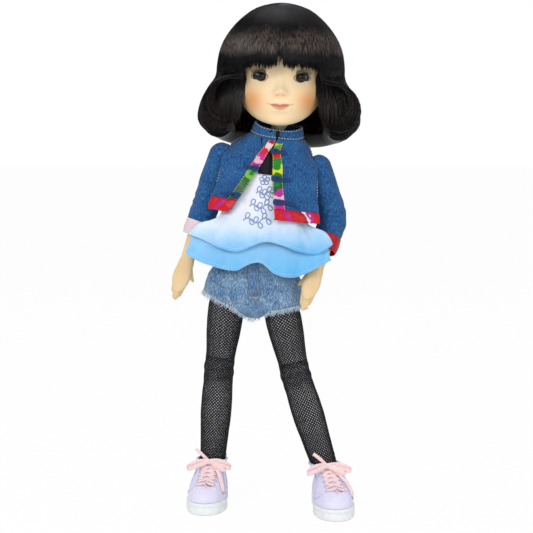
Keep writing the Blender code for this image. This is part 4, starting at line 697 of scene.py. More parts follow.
def bump(x, z, x0, z0, width, height):
    return math.exp(-((x - x0) / width) ** 2 - ((z - z0) / height) ** 2)


def lip_line(x):
    """Height of the line between the lips, which turns up at the corners."""
    return MOUTH_HEIGHT / MM + 1.5 * (x / 9) ** 2 - 0.25 * math.exp(-(x / 1.4) ** 2)


def lid_rise(across):
    """Height of the eye's opening at a place across it, from -1 to 1, as a share of the half height."""
    return math.sqrt(max(0.0, 1 - across * across)) * (1 - LID_TAPER * across * across)


def almond(x, z, side, grow=0.0):
    """How far inside the eye's opening a place is: 0 on its edge, 1 in the middle."""
    across = (x - side * EYE_SPACING_HALF) / (EYE_HALF_WIDTH + grow)
    if abs(across) >= 1:
        return -1.0
    up = (z - EYE_HEIGHT) / (EYE_HALF_HEIGHT + grow) - EYE_TILT * side * across
    return lid_rise(across) - abs(up)


def face_relief(x, z):
    """How far the face stands out from the plain egg, at a place across and up."""
    u, v = abs(x) / MM, z / MM
    out = 0.0
    for across, up, width, height, reach in FACE_BUMPS_MM:
        if up == NOSE_TIP_MM and v < up:
            height = UNDER_NOSE_MM
        out += reach * bump(u, v, across, up, width, height)
    line = math.exp(-((v - lip_line(u)) / 0.5) ** 2) * smooth(9.8, 7.0, u)
    out -= 0.85 * line
    for side in SIDES:
        inside = almond(x, z, side)
        if inside > -1:
            out -= 3.0 * smooth(-0.03, 0.14, inside)
        lid = almond(x, z, side, 0.0012)
        if lid > -1 and z > EYE_HEIGHT:
            out += 0.40 * math.exp(-((lid - 0.16) / 0.16) ** 2)
    return out * MM


def skin_paint(x, z, front):
    """Lip colour, blusher, painted shade under the nose and in the nostrils, and a painted highlight that makes the
    middle of the face lighter, at a place on the head.
    """
    if front <= 0:
        return (0.0, 0.0, 0.0, 1.0)
    u, v = abs(x) / MM, z / MM
    line = lip_line(u)
    top = line + 1.7 * max(0.0, 1 - (u / 7.2) ** 2) ** 0.7 - 0.5 * math.exp(-(u / 1.3) ** 2)
    low = line - 2.7 * max(0.0, 1 - (u / 6.6) ** 2) ** 0.8
    lips = smooth(-0.45, 0.35, min(top - v, v - low)) * smooth(7.6, 5.6, u) * (0.72 if v < line else 1.0)
    crease = 0.55 * math.exp(-((v - line) / 0.38) ** 2) * smooth(11.0, 8.5, u)
    # Painted shade joins the cheek colour here: a soft patch under the nose, and dots in the nostrils.
    cheek_blush_and_nose_shade = 0.70 * bump(u, v, 20.3, 20.5, 7.5, 7.5) + 0.25 * bump(u, v, 0, 24.0, 5.0, 2.0)
    painted_nostril_shade = 0.45 * bump(u, v, 2.4, 24.0, 1.0, 0.6)
    # Painted highlight: the middle of the face is painted lighter, where light falls on it.
    painted_light_middle = bump(u, v, 0, 26.0, 17.0, 26.0)
    return (min(1.0, lips + crease), min(1.0, cheek_blush_and_nose_shade + painted_nostril_shade), painted_light_middle, 1.0)


def head_ring(share, angles, grow=0.0, features=True):
    row = along(HEAD_RING_SHARES, share)
    ring = []
    for angle in angles:
        s, c = math.sin(angle), math.cos(angle)
        depth = row[2] * HEAD_FRONT if c > 0 else row[3] * HEAD_BACK
        x = (row[1] * HEAD_HALF_WIDTH + grow) * math.copysign(abs(s) ** 0.92, s)
        y = -(depth + grow) * math.copysign(abs(c) ** 0.92, c)
        z = share * HEAD_HEIGHT
        if features and y < 0:
            y -= face_relief(x, z) * min(1.0, -y / (0.5 * HEAD_FRONT))
        if features:
            ear = bump(y / MM, z / MM, 1.5, 31.0, 4.2, 8.0) * smooth(0.75, 0.95, abs(s))
            rim = bump(y / MM, z / MM, 1.0, 31.5, 2.2, 5.0) * smooth(0.75, 0.95, abs(s))
            x += math.copysign((3.0 * ear - 1.5 * rim) * MM, s)
        under = max(0.0, 1 - share / 0.30) * min(1.0, max(0.0, 1 + y / HEAD_FRONT))
        ring.append(Vector((x, y, z - CHIN_DROP + JAW_RISE * under + grow * (2 * share - 1))))
    return ring


def head_angles():
    """Columns round the head, set close together over the face."""
    ahead = [math.radians(62) * (2 * i / 200 - 1) for i in range(201)]
    behind = [math.radians(62) + (math.tau - math.radians(124)) * i / 64 for i in range(1, 64)]
    return ahead + behind


def make_head():
    angles = head_angles()
    shares = [0.002 + 0.62 * k / 150 for k in range(151)] + [0.622 + 0.376 * k / 34 for k in range(1, 35)]
    rings = [head_ring(share, angles) for share in shares]
    sockets = []
    for k in range(7):
        polar = math.pi * (0.42 - 0.40 * k / 6)
        r, z = SOCKET_RADIUS * math.sin(polar), SOCKET_RADIUS * math.cos(polar)
        sockets.append([Vector((r * math.sin(a), -r * math.cos(a), z)) for a in angles])
    rings = sockets[::-1] + rings
    paint = []
    for ring in rings:
        for p in ring:
            paint.append(skin_paint(p.x, p.z + CHIN_DROP, -p.y / (0.3 * HEAD_FRONT)))
    paint += [(0.0, 0.0, 0.0, 1.0)] * 2
    head = moulding("head_vinyl", moved(rings, "head"), VINYL, None, ["head_shell"])
    layer = head.data.color_attributes.new("paint", "FLOAT_COLOR", "POINT")
    layer.data.foreach_set("color", np.array(paint, np.float32).ravel())
    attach(head, "head_body")


def face_surface(x, z):
    """The face's own surface at a place across and up, in the head's frame, without the eye's opening."""
    row = along(HEAD_RING_SHARES, z / HEAD_HEIGHT)
    s = min(0.999, abs(x) / (row[1] * HEAD_HALF_WIDTH)) ** (1 / 0.92)
    y = -row[2] * HEAD_FRONT * math.sqrt(1 - s * s) ** 0.92
    relief_here = 0.0
    for across, up, width, height, reach in FACE_BUMPS_MM:
        relief_here += reach * bump(abs(x) / MM, z / MM, across, up, width, height) * MM
    return Vector((x, y - relief_here * min(1.0, -y / (0.5 * HEAD_FRONT)), z - CHIN_DROP))


def make_eyes():
    home = PLACE["head"]
    liner = add_plain("eyeliner_paint", "#140a07", "#24130d", 0.5, 0.002, "Airbrushed line round the eye")
    fibre = add_plain("lash_fibre", "#0c0808", "#1a1110", 0.4, 0.001, "Fine black lash bristle")
    for side in SIDES:
        word = WORD[side]
        centre = face_surface(side * EYE_SPACING_HALF,
                              EYE_HEIGHT) + Vector((0.0010 * side, EYE_RADIUS + 0.0002, 0))
        rings = []
        for k in range(1, 40):
            polar = math.pi * k / 40
            r, y = EYE_RADIUS * math.sin(polar), -EYE_RADIUS * math.cos(polar)
            rings.append([Vector((r * math.cos(t), y, r * math.sin(t))) for t in
                          [math.tau * i / 48 for i in range(48)]])
        points, faces = loft(rings, (Vector((0, -EYE_RADIUS, 0)), Vector((0, EYE_RADIUS, 0))))
        corners = []
        for face in faces:
            for v in face:
                corners.append(((points[v].x - 0.0002 * side) / MM, points[v].z / MM - 0.1))
        eye = piece("eye_acrylic_" + word, [home @ (p + centre) for p in points], faces, EYE, None,
                    ["eye_" + word], corners)
        outwards(eye)
        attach(eye, "head_body")

        edge = []
        for i in range(33):
            across = -1 + 2 * i / 32
            edge.append((across, lid_rise(across)))
        for name, sign, start, end, girth in (("upper", 1, 0, 33, 0.66), ("lower", -1, 8, 31, 0.16)):
            path = []
            girths = []
            for k, (across, up) in enumerate(edge[start:end]):
                x = side * EYE_SPACING_HALF + across * EYE_HALF_WIDTH
                z = EYE_HEIGHT + (sign * up + EYE_TILT * side * across) * EYE_HALF_HEIGHT
                path.append(home @ (face_surface(x, z) + Vector((0, -0.00005, 0))))
                outer = 0.5 + 0.5 * side * across
                girths.append(girth * (0.45 + 0.75 * outer)
                              * min(1.0, 0.25 + (end - start - 1 - k) / 4, 0.25 + k / 4))
            follow("lid_line_%s_%s" % (name, word), [path], THREAD, {"Radius": MM, "Sides": 6}, liner,
                   "head_body",
                   (), [girths])
        paths = []
        girths = []
        for k in range(26):
            across = side * (-0.65 + 1.62 * k / 25)
            across = max(-0.985, min(0.985, across))
            x = side * EYE_SPACING_HALF + across * EYE_HALF_WIDTH
            z = EYE_HEIGHT + (lid_rise(across) + EYE_TILT * side * across) * EYE_HALF_HEIGHT
            root = face_surface(x, z) + Vector((0, 0.0001, 0.0001))
            outer = max(0.0, side * across)
            long = (2.3 + 2.6 * outer + 0.6 * random.random()) * MM
            aim = Vector((side * (0.10 + 1.05 * outer), -0.85, 0.42 + 0.10 * (1 - outer))).normalized()
            path = []
            for step in range(6):
                t = step / 5
                path.append(home @ (root + aim * long * t + Vector((0, 0, 0.55 * long * t * t))))
            paths.append(path)
            girths.append([0.21 * (1 - 0.8 * step / 5) for step in range(6)])
        follow("lashes_" + word, paths, THREAD, {"Radius": MM, "Sides": 4}, fibre, "head_body", (), girths)


def add_plain(name, dark, light, roughness, size, words):
    """A finish that varies softly between two close colours. The words say what it is."""
    material, tree, shader = start_finish(name, roughness)
    material["what"] = words
    spot = object_place(tree)
    grain = speckle(tree, spot, size, 3)
    base_colour(tree, shader, ramp(tree, grain, ((0.3, dark), (0.7, light))))
    relief(tree, shader, grain, 0.1 * size, 0.3)
    return material


make_head()
make_eyes()


# Wig, in the head's frame. A strand runs from the crown's top, along the wig's surface, to its end.

HAIR_TOP = 0.0868
HAIR_HALF_WIDTH = 0.0465
HAIR_HALF_DEPTH = 0.0440
WIG_HEIGHT = 0.0538
LOCK_TOP = 0.0322
LOCK_DROP = 0.0510
LOCK_REACH = 0.0600
WIG_RING_SHARES = (
    # height down from the top as a share of the crown, half width, front, back
    (0.00, 0.02, 0.02, 0.02),
    (0.02, 0.18, 0.19, 0.19),
    (0.08, 0.40, 0.42, 0.42),
    (0.18, 0.58, 0.61, 0.61),
    (0.33, 0.76, 0.78, 0.80),
    (0.51, 0.90, 0.88, 0.93),
    (0.69, 0.976, 0.93, 1.01),
    (0.84, 1.00, 0.94, 1.05),
    (1.00, 1.017, 0.94, 1.08),
)
CURL_PROFILE_SHARES = (
    # reach from the head's axis, height down as a share of the lock
    (0.788, 0.00), (0.892, 0.18), (0.965, 0.36), (1.000, 0.57), (0.975, 0.71),
    (0.900, 0.86), (0.830, 0.97), (0.740, 1.00), (0.650, 0.92), (0.620, 0.78),
    (0.665, 0.64), (0.750, 0.60), (0.825, 0.68), (0.810, 0.80), (0.740, 0.82),
)
FRINGE_ANGLE = math.radians(43)


# The rolled front edge of each side curl, as a spiral seen from the front: radius and turn about its middle
ROLL_MIDDLE = {RIGHT: (0.0400, 0.0115), LEFT: (0.0430, 0.0085)}
ROLL_SHARES = (
    (1.75, 118), (1.45, 88), (1.28, 58), (1.20, 28), (1.17, -4), (1.14, -38), (1.08, -75), (1.02, -112),
    (0.96, -150), (0.90, -190), (0.82, -235), (0.72, -280), (0.60, -330), (0.46, -390), (0.34, -450),
)
ROLL_RADIUS = 0.0140
ROLL_START = math.radians(58)
ROLL_END = math.radians(84)
HAIR_LAYERS = 3
STRAND_GIRTH = 0.26
FILLER_SHARE = 0.36


def wig_line(angle, fringe=False, fill=0.0):
    """Points down the wig at an angle from the front, from the crown's top to the curl's end."""
    s, c = math.sin(angle), math.cos(angle)
    path = []
    for k in range(15):
        height, width, front, back = along(WIG_RING_SHARES, (k / 14) ** 1.6)
        depth = (front if c > 0 else back) * HAIR_HALF_DEPTH
        path.append(Vector((
            width * HAIR_HALF_WIDTH * math.copysign(abs(s) ** 0.95, s),
            -depth * math.copysign(abs(c) ** 0.95, c),
            HAIR_TOP - height * WIG_HEIGHT,
        )))
    last = path.pop()
    turned = abs(angle if angle < math.pi else angle - math.tau)
    beside = smooth(math.radians(36), math.radians(68), turned)
    for number, (reach, height) in enumerate(CURL_PROFILE_SHARES):
        out = LOCK_REACH * reach * (1 + 0.012 * math.cos(7 * angle))
        z = LOCK_TOP - height * LOCK_DROP
        if z < 0:
            z *= 1 - 0.36 * math.exp(-((turned - 0.5 * math.pi) / 0.55) ** 2)
        spot = Vector(((0.83 + 0.17 * beside) * out * s, -0.93 * (0.70 + 0.30 * beside) * out * c, z))
        if not fringe and turned < ROLL_END:
            side = RIGHT if s < 0 else LEFT
            middle = ROLL_MIDDLE[side]
            radius, bearing = ROLL_SHARES[number]
            radius *= ROLL_RADIUS * (1 - fill * smooth(0, 5, number))
            bearing = math.radians(bearing)
            rolled = Vector((
                side * (middle[0] + radius * math.cos(bearing)), last.y * (1 - 0.38 * smooth(0, 7, number)),
                middle[1] + radius * math.sin(bearing)))
            spot = rolled.lerp(spot, smooth(ROLL_START, ROLL_END, turned))
        if number == 0:
            spot = 0.5 * (spot + last)
        path.append(spot)
    return path


def resample(path, start, end, count):
    """Evenly spaced points on a smooth curve through a path, between two shares of its length."""
    lengths = [0.0]
    for a, b in zip(path, path[1:]):
        lengths.append(lengths[-1] + (b - a).length)
    table = [(length / lengths[-1], *p) for length, p in zip(lengths, path)]
    return [Vector(along(table, start + (end - start) * i / (count - 1))[1:]) for i in range(count)]


def fringe_end(angle):
    """Share of the way down the wig where the fringe is cut, with a small gap left of the middle."""
    across = angle / FRINGE_ANGLE
    gap = 0.055 * max(0.0, 1 - abs(across + 0.03) / 0.065) ** 0.8
    return 0.408 - gap + 0.030 * smooth(0.55, 1.0, abs(across))


def lean_in(points, amount):
    """Pulls points towards the head's axis."""
    return [Vector((p.x * (1 - amount), p.y * (1 - amount), p.z - amount * 0.02)) for p in points]


def make_wig():
    home = PLACE["head"]
    parts = (
        # name, solids, angles in degrees, columns, end share
        ("hair_fringe_underlayer", ["hair_fringe", "hair_crown"], (-46, 46), 60, None),
        ("hair_curl_right_underlayer", ["hair_curl_right"], (-120, -38), 56, 0.93),
        ("hair_curl_left_underlayer", ["hair_curl_left"], (38, 120), 56, 0.93),
        ("hair_back_underlayer", ["hair_back"], (118, 242), 70, 0.90),
    )
    for name, solids, (low, high), columns, end in parts:
        rows = None
        for i in range(columns + 1):
            angle = math.radians(low + (high - low) * i / columns)
            stop = end if end else fringe_end(max(-FRINGE_ANGLE, min(FRINGE_ANGLE, angle))) - 0.020
            line = lean_in(resample(wig_line(angle, "fringe" in name, 0.2), 0.0, stop, 90), 0.030)
            rows = rows or [[] for _ in line]
            for row, p in zip(rows, line):
                row.append(home @ p)
        thing = fabric(name, rows, 0.0014, LINING, None, solids)
        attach(thing, "head_body")

    for side in SIDES:
        rows = []
        for k in range(40):
            t = k / 39
            row = []
            for i in range(41):
                angle = side * math.radians(52 + 74 * i / 40)
                reach = 0.0405 + 0.006 * smooth(60, 100,
                                                math.degrees(abs(angle))) + 0.004 * math.sin(math.pi * t)
                p = Vector((reach * math.sin(angle), -0.80 * reach * math.cos(angle), 0.030 - 0.038 * t))
                row.append(home @ (p + 0.0008
                                   * Vector((ripple(p * 3, 0.02, side), ripple(p * 3, 0.02, 5), 0))))
            rows.append(row)
        thing = fabric("hair_inner_" + WORD[side], rows, 0.0012, LINING, "head_body")

    groups = (
        # name, angles, strands in each of three layers
        ("hair_fringe_strands", (-44, 44), 430),
        ("hair_right_strands", (-122, -35.5), 370),
        ("hair_left_strands", (35.5, 122), 370),
        ("hair_back_strands", (120, 240), 400),
    )
    for name, (low, high), number in groups:
        paths = []
        girths = []
        for layer in range(HAIR_LAYERS):
            for k in range(number):
                angle = math.radians(low + (high - low) * (k + random.random()) / number)
                clump = noise.noise(Vector((6.5 * angle, 3.1 * layer, 0.5)))
                fine = noise.noise(Vector((38 * angle, 1.7 * layer, 4.0)))
                if "fringe" in name:
                    stop = fringe_end(max(-FRINGE_ANGLE, min(FRINGE_ANGLE, angle)))
                    if random.random() < 0.3:
                        stop = max(stop, 0.385 + 0.02 * random.random())
                    stop += 0.022 * fine + 0.012 * clump - 0.022 * random.random() ** 2 + 0.012 * random.random() ** 6
                    steps = 12
                else:
                    stop = 0.93 + 0.05 * fine - 0.05 * random.random()
                    steps = 27 if "back" in name else 33
                behind = abs(angle) < ROLL_END and random.random() < FILLER_SHARE and "fringe" not in name
                if behind:
                    stop = 0.60 + 0.07 * random.random()
                    steps = 20
                whole = wig_line(angle, behind or "fringe" in name, 0.75 * random.random() ** 0.8)
                line = resample(whole, 0.004 + 0.03 * random.random(), stop, steps)
                lift = 0.006 * layer - 0.014 + 0.012 * clump + 0.006 * fine
                points = []
                for i, p in enumerate(line):
                    t = i / (steps - 1)
                    p = p + Vector((0, 0.007 * smooth(0.45, 0.8, t) if behind else 0, 0))
                    sway = 0.020 * clump * t + 0.010 * noise.noise(Vector((50 * angle, 3 * t, 9)))
                    grow = 1 + (lift if t > 0.10 else lift * t / 0.10)
                    x = p.x * math.cos(sway) - p.y * math.sin(sway)
                    y = p.x * math.sin(sway) + p.y * math.cos(sway)
                    points.append(home @ Vector((x * grow, y * grow, p.z - 0.004 * clump * t * (1 - t))))
                paths.append(points)
                girths.append([STRAND_GIRTH * min(1.0, 0.35 + 6 * (1 - i / (steps - 1)))
                               for i in range(steps)])
        follow(name, paths, THREAD, {"Radius": MM, "Sides": 3}, FIBRE, "head_body", (), girths)


make_wig()


# Cloth. Rows run top to bottom, and each half plan from the front centre to the back centre.

def refine(rows, marks, wanted):
    """Rows at wanted places between given ones, on smooth curves down each column."""
    result = []
    columns = [[(mark, *row[i]) for mark, row in zip(marks, rows)] for i in range(len(rows[0]))]
    for place_down in wanted:
        result.append([Vector(along(column, place_down)[1:]) for column in columns])
    return result


def steps_between(low, high, count):
    return [low + (high - low) * i / (count - 1) for i in range(count)]


def length_marks(rows):
    """How far down each row lies, as a share of the whole."""
    marks = [0.0]
    for upper, lower in zip(rows, rows[1:]):
        marks.append(marks[-1] + sum((a - b).length for a, b in zip(upper, lower)))
    return [m / marks[-1] for m in marks]


def pushed(rows, out, closed=False):
    """Rows moved along the surface's normal: by a distance, or by a rule of place across, down and point."""
    count = len(rows[0])
    normals = surface_normals(rows, closed)
    result = []
    for r, row in enumerate(rows):
        line = []
        for i, p in enumerate(row):
            reach = out(i / (count - 1), r / (len(rows) - 1), p) if callable(out) else out
            line.append(p + normals[r * count + i] * reach)
        result.append(line)
    return result


def cloth(name, rows, thickness, material, body, stands_for, closed=False):
    """A sheet of cloth. The size that its rows unroll to is worked out, but nothing keeps it."""
    thing = fabric(name, rows, thickness, material, body, stands_for, closed)
    widths = []
    for row in rows:
        around = row + row[:1] if closed else row
        widths.append(sum((a - b).length for a, b in zip(around, around[1:])))
    heights = []
    for i in range(0, len(rows[0]), 7):
        heights.append(sum((a[i] - b[i]).length for a, b in zip(rows, rows[1:])))
    flat = (max(widths), max(heights))
    one_side = 0.5 * sum(f.area for f in thing.data.polygons)
    one_side = max(0.31 * flat[0] * flat[1], min(one_side, flat[0] * flat[1]))
    return thing


CHEST_PLAN_SHARES = (
    # across and forward, as shares of the torso's half width and half depth
    (0.00, 1.36), (0.42, 1.36), (0.84, 1.27), (1.20, 1.04), (1.40, 0.74),
    (1.22, 0.34), (1.12, -0.30), (0.94, -0.94), (0.50, -1.24), (0.00, -1.30),
)
HEM_PLAN_SHARES = (
    (0.00, 1.95), (0.50, 1.93), (1.00, 1.80), (1.42, 1.42), (1.66, 1.06),
    (1.30, 0.52), (1.13, -0.20), (0.98, -0.90), (0.55, -1.30), (0.00, -1.38),
)
COLLAR_PLAN_SHARES = (
    (0.00, 1.02), (0.30, 1.01), (0.56, 0.88), (0.72, 0.58), (0.78, 0.22),
    (0.78, -0.10), (0.72, -0.45), (0.56, -0.74), (0.28, -0.90), (0.00, -0.94),
)
SHOULDER_PLAN_SHARES = (
    (0.00, 1.16), (0.36, 1.16), (0.72, 1.04), (1.00, 0.78), (1.17, 0.40),
    (1.22, 0.00), (1.17, -0.40), (0.94, -0.80), (0.48, -1.04), (0.00, -1.10),
)
JACKET_LEVEL_SHARES = (
    # height down from the collar seam as a share of the jacket, and the plans mixed there
    (0.00, COLLAR_PLAN_SHARES, COLLAR_PLAN_SHARES, 0.0),
    (0.07, COLLAR_PLAN_SHARES, SHOULDER_PLAN_SHARES, 0.55),
    (0.16, COLLAR_PLAN_SHARES, SHOULDER_PLAN_SHARES, 1.0),
    (0.30, SHOULDER_PLAN_SHARES, CHEST_PLAN_SHARES, 1.0),
    (0.50, CHEST_PLAN_SHARES, HEM_PLAN_SHARES, 0.15),
    (0.70, CHEST_PLAN_SHARES, HEM_PLAN_SHARES, 0.45),
    (0.86, CHEST_PLAN_SHARES, HEM_PLAN_SHARES, 0.80),
    (1.00, CHEST_PLAN_SHARES, HEM_PLAN_SHARES, 1.0),
)
JACKET_MARKS = [level[0] for level in JACKET_LEVEL_SHARES]
JACKET_LENGTH = 0.0580
COLLAR_HEIGHT = 0.0088
NECKLINE_RISE = 0.0022
NECKLINE_DIP = 0.0025
DENIM = 0.0009
SATIN = 0.0006
COTTON = 0.0005
GAP = 0.0003
FACING_WIDTH = 0.0080
HEM_TRIM_HEIGHT = 0.0078
SIDE_SEAM = 0.560
SEAM = 0.004
FRONT_EDGE_SHARES = {RIGHT: (0.012, 0.235), LEFT: (0.012, 0.080)}
JACKET_RISE = 0.0030
HEM_AT = {RIGHT: 0.955, LEFT: 1.0}


def plan_point(plan, turnabout):
    """Point of a half plan, from 0 at the front centre to 1 at the back centre, on a smooth curve."""
    spot = turnabout * (len(plan) - 1)
    k = min(int(spot), len(plan) - 2)
    t = spot - k
    quad = [plan[max(0, k - 1)], plan[k], plan[k + 1], plan[min(len(plan) - 1, k + 2)]]
    weights = (
        -0.5 * t + t * t - 0.5 * t ** 3,
        1 - 2.5 * t * t + 1.5 * t ** 3,
        0.5 * t + 2 * t * t - 1.5 * t ** 3,
        -0.5 * t * t + 0.5 * t ** 3,
    )
    return [sum(w * p[axis] for w, p in zip(weights, quad)) for axis in range(len(quad[0]))]


def front_edge(side, share):
    """Turnabout of a front panel's free edge at a share of the way to the hem."""
    closed, open_hem = FRONT_EDGE_SHARES[side]
    return closed + (open_hem - closed) * max(0.0, share - 0.10) / 0.90


def jacket_level(level, side, start, end, count):
    """A row of the jacket at one of its own levels, between two turnabouts, in the torso's frame."""
    share, plan_a, plan_b, mixed = level
    near = max(0.0, 1 - share / JACKET_MARKS[2])
    row = []
    for i in range(count):
        turnabout = start + (end - start) * i / (count - 1)
        a, b = plan_point(plan_a, turnabout), plan_point(plan_b, turnabout)
        x = side * (a[0] + (b[0] - a[0]) * mixed) * TORSO_HALF_WIDTH
        y = -(a[1] + (b[1] - a[1]) * mixed) * TORSO_HALF_DEPTH
        front = max(0.0, -y / TORSO_HALF_DEPTH)
        z = TORSO_LENGTH + JACKET_RISE - share * JACKET_LENGTH + near * (NECKLINE_RISE - NECKLINE_DIP
                * front * front)
        row.append(Vector((x + NECK_SIDE * near, y, z)))
    return row


def dome(radius, sides):
    """Rings of a half ball, from near its top down to its widest."""
    rings = []
    for k in range(1, 9):
        angle = 0.5 * math.pi * k / 8
        r = radius * math.sin(angle)
        rings.append(oval(radius * math.cos(angle), r, r, r, sides))
    return rings


def crumple(across, down, p):
    """Soft creases of worn cotton cloth, which grow towards a hem."""
    deep = 0.25 + 0.75 * smooth(0.1, 0.9, down)
    return MM * (0.75 * deep * ripple((p.x, p.y, 0.6 * p.z), 0.011, 3.0) + 0.30 * ripple(p, 0.0045, 8.0))


def jacket_rows(side, start_of, end_of, count, wanted, out=0.0):
    rows = [jacket_level(level, side, start_of(level[0]), end_of(level[0]), count)
            for level in JACKET_LEVEL_SHARES]
    rows = refine(rows, JACKET_MARKS, wanted)
    return pushed(rows, lambda a, d, p: out + crumple(a, d, p))


FINE_STITCH = (0.0013, 0.0005, 0.0002)


def stitches(name, path, finish, body, pitch=0.0021, length=0.00075, radius=0.00026):
    """A run of thread stitches along a seam."""
    return follow(name, [path], STITCH, {"Pitch": pitch, "Length": length, "Radius": radius}, finish, body)


def uv_parts(tree):
    place_mm = add(tree, "ShaderNodeUVMap", uv_map="cloth_mm").outputs[0]
    split = add(tree, "ShaderNodeSeparateXYZ", {0: place_mm})
    return place_mm, split.outputs[0], split.outputs[1]


def denim_finish(name, dark, mid, light, wear):
    """Indigo cotton twill: blue warp over white weft in fine diagonal ribs, matt, with slubs and a
    paler bloom where it rubs. The ribs are drawn 0.9 mm apart so that they show; real ones are 0.5."""
    material, tree, shader = start_finish(name, 0.88, Sheen_Weight=0.12, Sheen_Roughness=0.6,
                                          Specular_IOR_Level=0.15)
    spot, across, down = uv_parts(tree)
    rib = maths(tree, "SINE",
                maths(tree, "MULTIPLY", maths(tree, "ADD", across, maths(tree, "MULTIPLY", down, 0.8)),
                      math.tau / 0.9))
    slub = speckle(tree, spot, 0.9, 3, (1, 0.35, 1))
    bloom = speckle(tree, spot, 14.0, 3)
    height = maths(tree, "ADD", maths(tree, "MULTIPLY", rib, 0.13), slub)
    tone = maths(tree, "ADD", height, maths(tree, "MULTIPLY", maths(tree, "SUBTRACT", bloom, 0.5), wear))
    colour = ramp(tree, tone, ((0.22, dark), (0.50, mid), (0.80, light)))
    base_colour(tree, shader, colour)
    relief(tree, shader, height, 0.00025, 0.7)
    return material


def print_finish(name, stops, lengthwise=True, span=46.0):
    """Printed satin ribbon: smooth silk-like face with bright flat patches, soft sheen across it."""
    material, tree, shader = start_finish(name, 0.36, Specular_IOR_Level=0.35)
    spot, across, down = uv_parts(tree)
    along_it = maths(tree, "MULTIPLY", down, -1.0) if lengthwise else across
    drift = maths(tree, "MULTIPLY", maths(tree, "SUBTRACT", speckle(tree, spot, 6.0, 2), 0.5), 11.0)
    slant = maths(tree, "MULTIPLY", across if lengthwise else down, 0.5)
    place_on = maths(tree, "MULTIPLY", maths(tree, "ADD", maths(tree, "ADD", along_it, drift), slant),
                     1 / span)
    base = ramp(tree, place_on, stops, "CONSTANT")
    shade = speckle(tree, spot, 2.4, 3)
    colour = mix(tree, maths(tree, "MULTIPLY", shade, 0.25), base, "#7a0a20", "MULTIPLY")
    base_colour(tree, shader, colour)
    thread = maths(tree, "SINE", maths(tree, "MULTIPLY", down, math.tau / 0.5))
    relief(tree, shader, maths(tree, "ADD", maths(tree, "MULTIPLY", thread, 0.1), shade), 0.0002, 0.4)
    return material


def ombre_finish(name, stops, low, high, see_through=0.0):
    """Fine cotton lawn dyed from white into sky blue: a plain weave, matt, slightly sheer."""
    material, tree, shader = start_finish(name, 0.80, Sheen_Weight=0.15, Specular_IOR_Level=0.2,
                                          Subsurface_Weight=see_through, Subsurface_Scale=0.002)
    where = object_place(tree)
    height = add(tree, "ShaderNodeSeparateXYZ", {0: where}).outputs[2]
    cloud = maths(tree, "MULTIPLY", maths(tree, "SUBTRACT", speckle(tree, where, 0.012, 3), 0.5), 0.012)
    share = maths(tree, "DIVIDE", maths(tree, "SUBTRACT", maths(tree, "ADD", height, cloud), low), high - low)
    spot, across, down = uv_parts(tree)
    warp = maths(tree, "SINE", maths(tree, "MULTIPLY", across, math.tau / 0.7))
    weft = maths(tree, "SINE", maths(tree, "MULTIPLY", down, math.tau / 0.7))
    weave = maths(tree, "MULTIPLY", warp, weft)
    colour = mix(tree, maths(tree, "MULTIPLY", speckle(tree, spot, 0.8, 2), 0.10),
                 ramp(tree, share, stops), "#c3d8ee", "MULTIPLY")
    base_colour(tree, shader, colour)
    relief(tree, shader, weave, 0.00012, 0.35)
    return material


def cotton_thread(name, dark, light):
    """Spun polyester sewing thread: matt with a faint sheen, twisted in two plies."""
    return add_plain(name, dark, light, 0.55, 0.0006, "Twisted sewing thread")


DENIM_BLUE = denim_finish("indigo_denim_twill", "#0e2f59", "#1c5289", "#4480b8", 0.30)
WASHED = denim_finish("stone_washed_denim", "#35597d", "#5c80a4", "#b4cadb", 0.55)
TOPSTITCH = cotton_thread("cream_topstitch_thread", "#cfb97c", "#efe0b0")
YELLOW_STITCH = cotton_thread("yellow_topstitch_thread", "#d8c24a", "#f2e68c")
NAVY_CORD = denim_finish("navy_frog_twill", "#0f2c52", "#1b4070", "#35639a", 0.3)
RIGHT_PRINT = print_finish("satin_print_right_front", (
    (0.00, "#d40a1c"), (0.10, "#f6e3ea"), (0.18, "#d81f33"), (0.30, "#d0279a"), (0.38, "#f2b8d6"),
    (0.46, "#c21d86"), (0.54, "#1b8c1e"), (0.66, "#7cc043"), (0.74, "#166e1c"), (0.92, "#0f4d2a"),
))
LEFT_PRINT = print_finish("satin_print_left_front", (
    (0.00, "#c8d93a"), (0.08, "#4fae2c"), (0.17, "#d8182a"), (0.28, "#1b8c1e"), (0.46, "#e6e827"),
    (0.54, "#1c7f2a"), (0.70, "#0f5c3a"), (0.80, "#c22aa0"), (0.88, "#f3d3e6"), (0.97, "#d0279a"),
))
HEM_PRINT = print_finish("satin_print_hem", (
    (0.00, "#d40a1c"), (0.16, "#c01a80"), (0.24, "#d40a1c"), (0.46, "#b00f2c"), (0.55, "#f4e9ee"),
    (0.61, "#d0279a"), (0.72, "#d81226"), (0.90, "#e24a90"), (0.96, "#d40a1c"),
), False, 40.0)
CUFF_PRINT = print_finish("satin_print_cuff", (
    (0.00, "#f4dfe4"), (0.14, "#a01028"), (0.22, "#f0c4d0"), (0.40, "#f6e9ec"), (0.52, "#8f0f22"),
    (0.60, "#f3d0da"), (0.84, "#b3122c"), (0.91, "#f4dfe4"),
), False, 40.0)
CUFF_RED = print_finish("satin_print_red_cuff", (
    (0.00, "#c20a1a"), (0.50, "#d81226"), (0.80, "#b00f2c"),
), False, 40.0)
TOP_WHITE = ombre_finish("dyed_cotton_lawn", (
    (0.00, "#4faeea"), (0.15, "#68bbf0"), (0.27, "#a8d6f7"), (0.40, "#e2eefc"), (0.55, "#f6f6fd"),
    (1.00, "#f8f6fc"),
), 0.180, 0.262, 0.05)
TOP_BLUE = ombre_finish("blue_cotton_voile", (
    (0.00, "#55b1ea"), (0.35, "#74c3f2"), (1.00, "#a4d6f8"),
), 0.168, 0.206, 0.10)
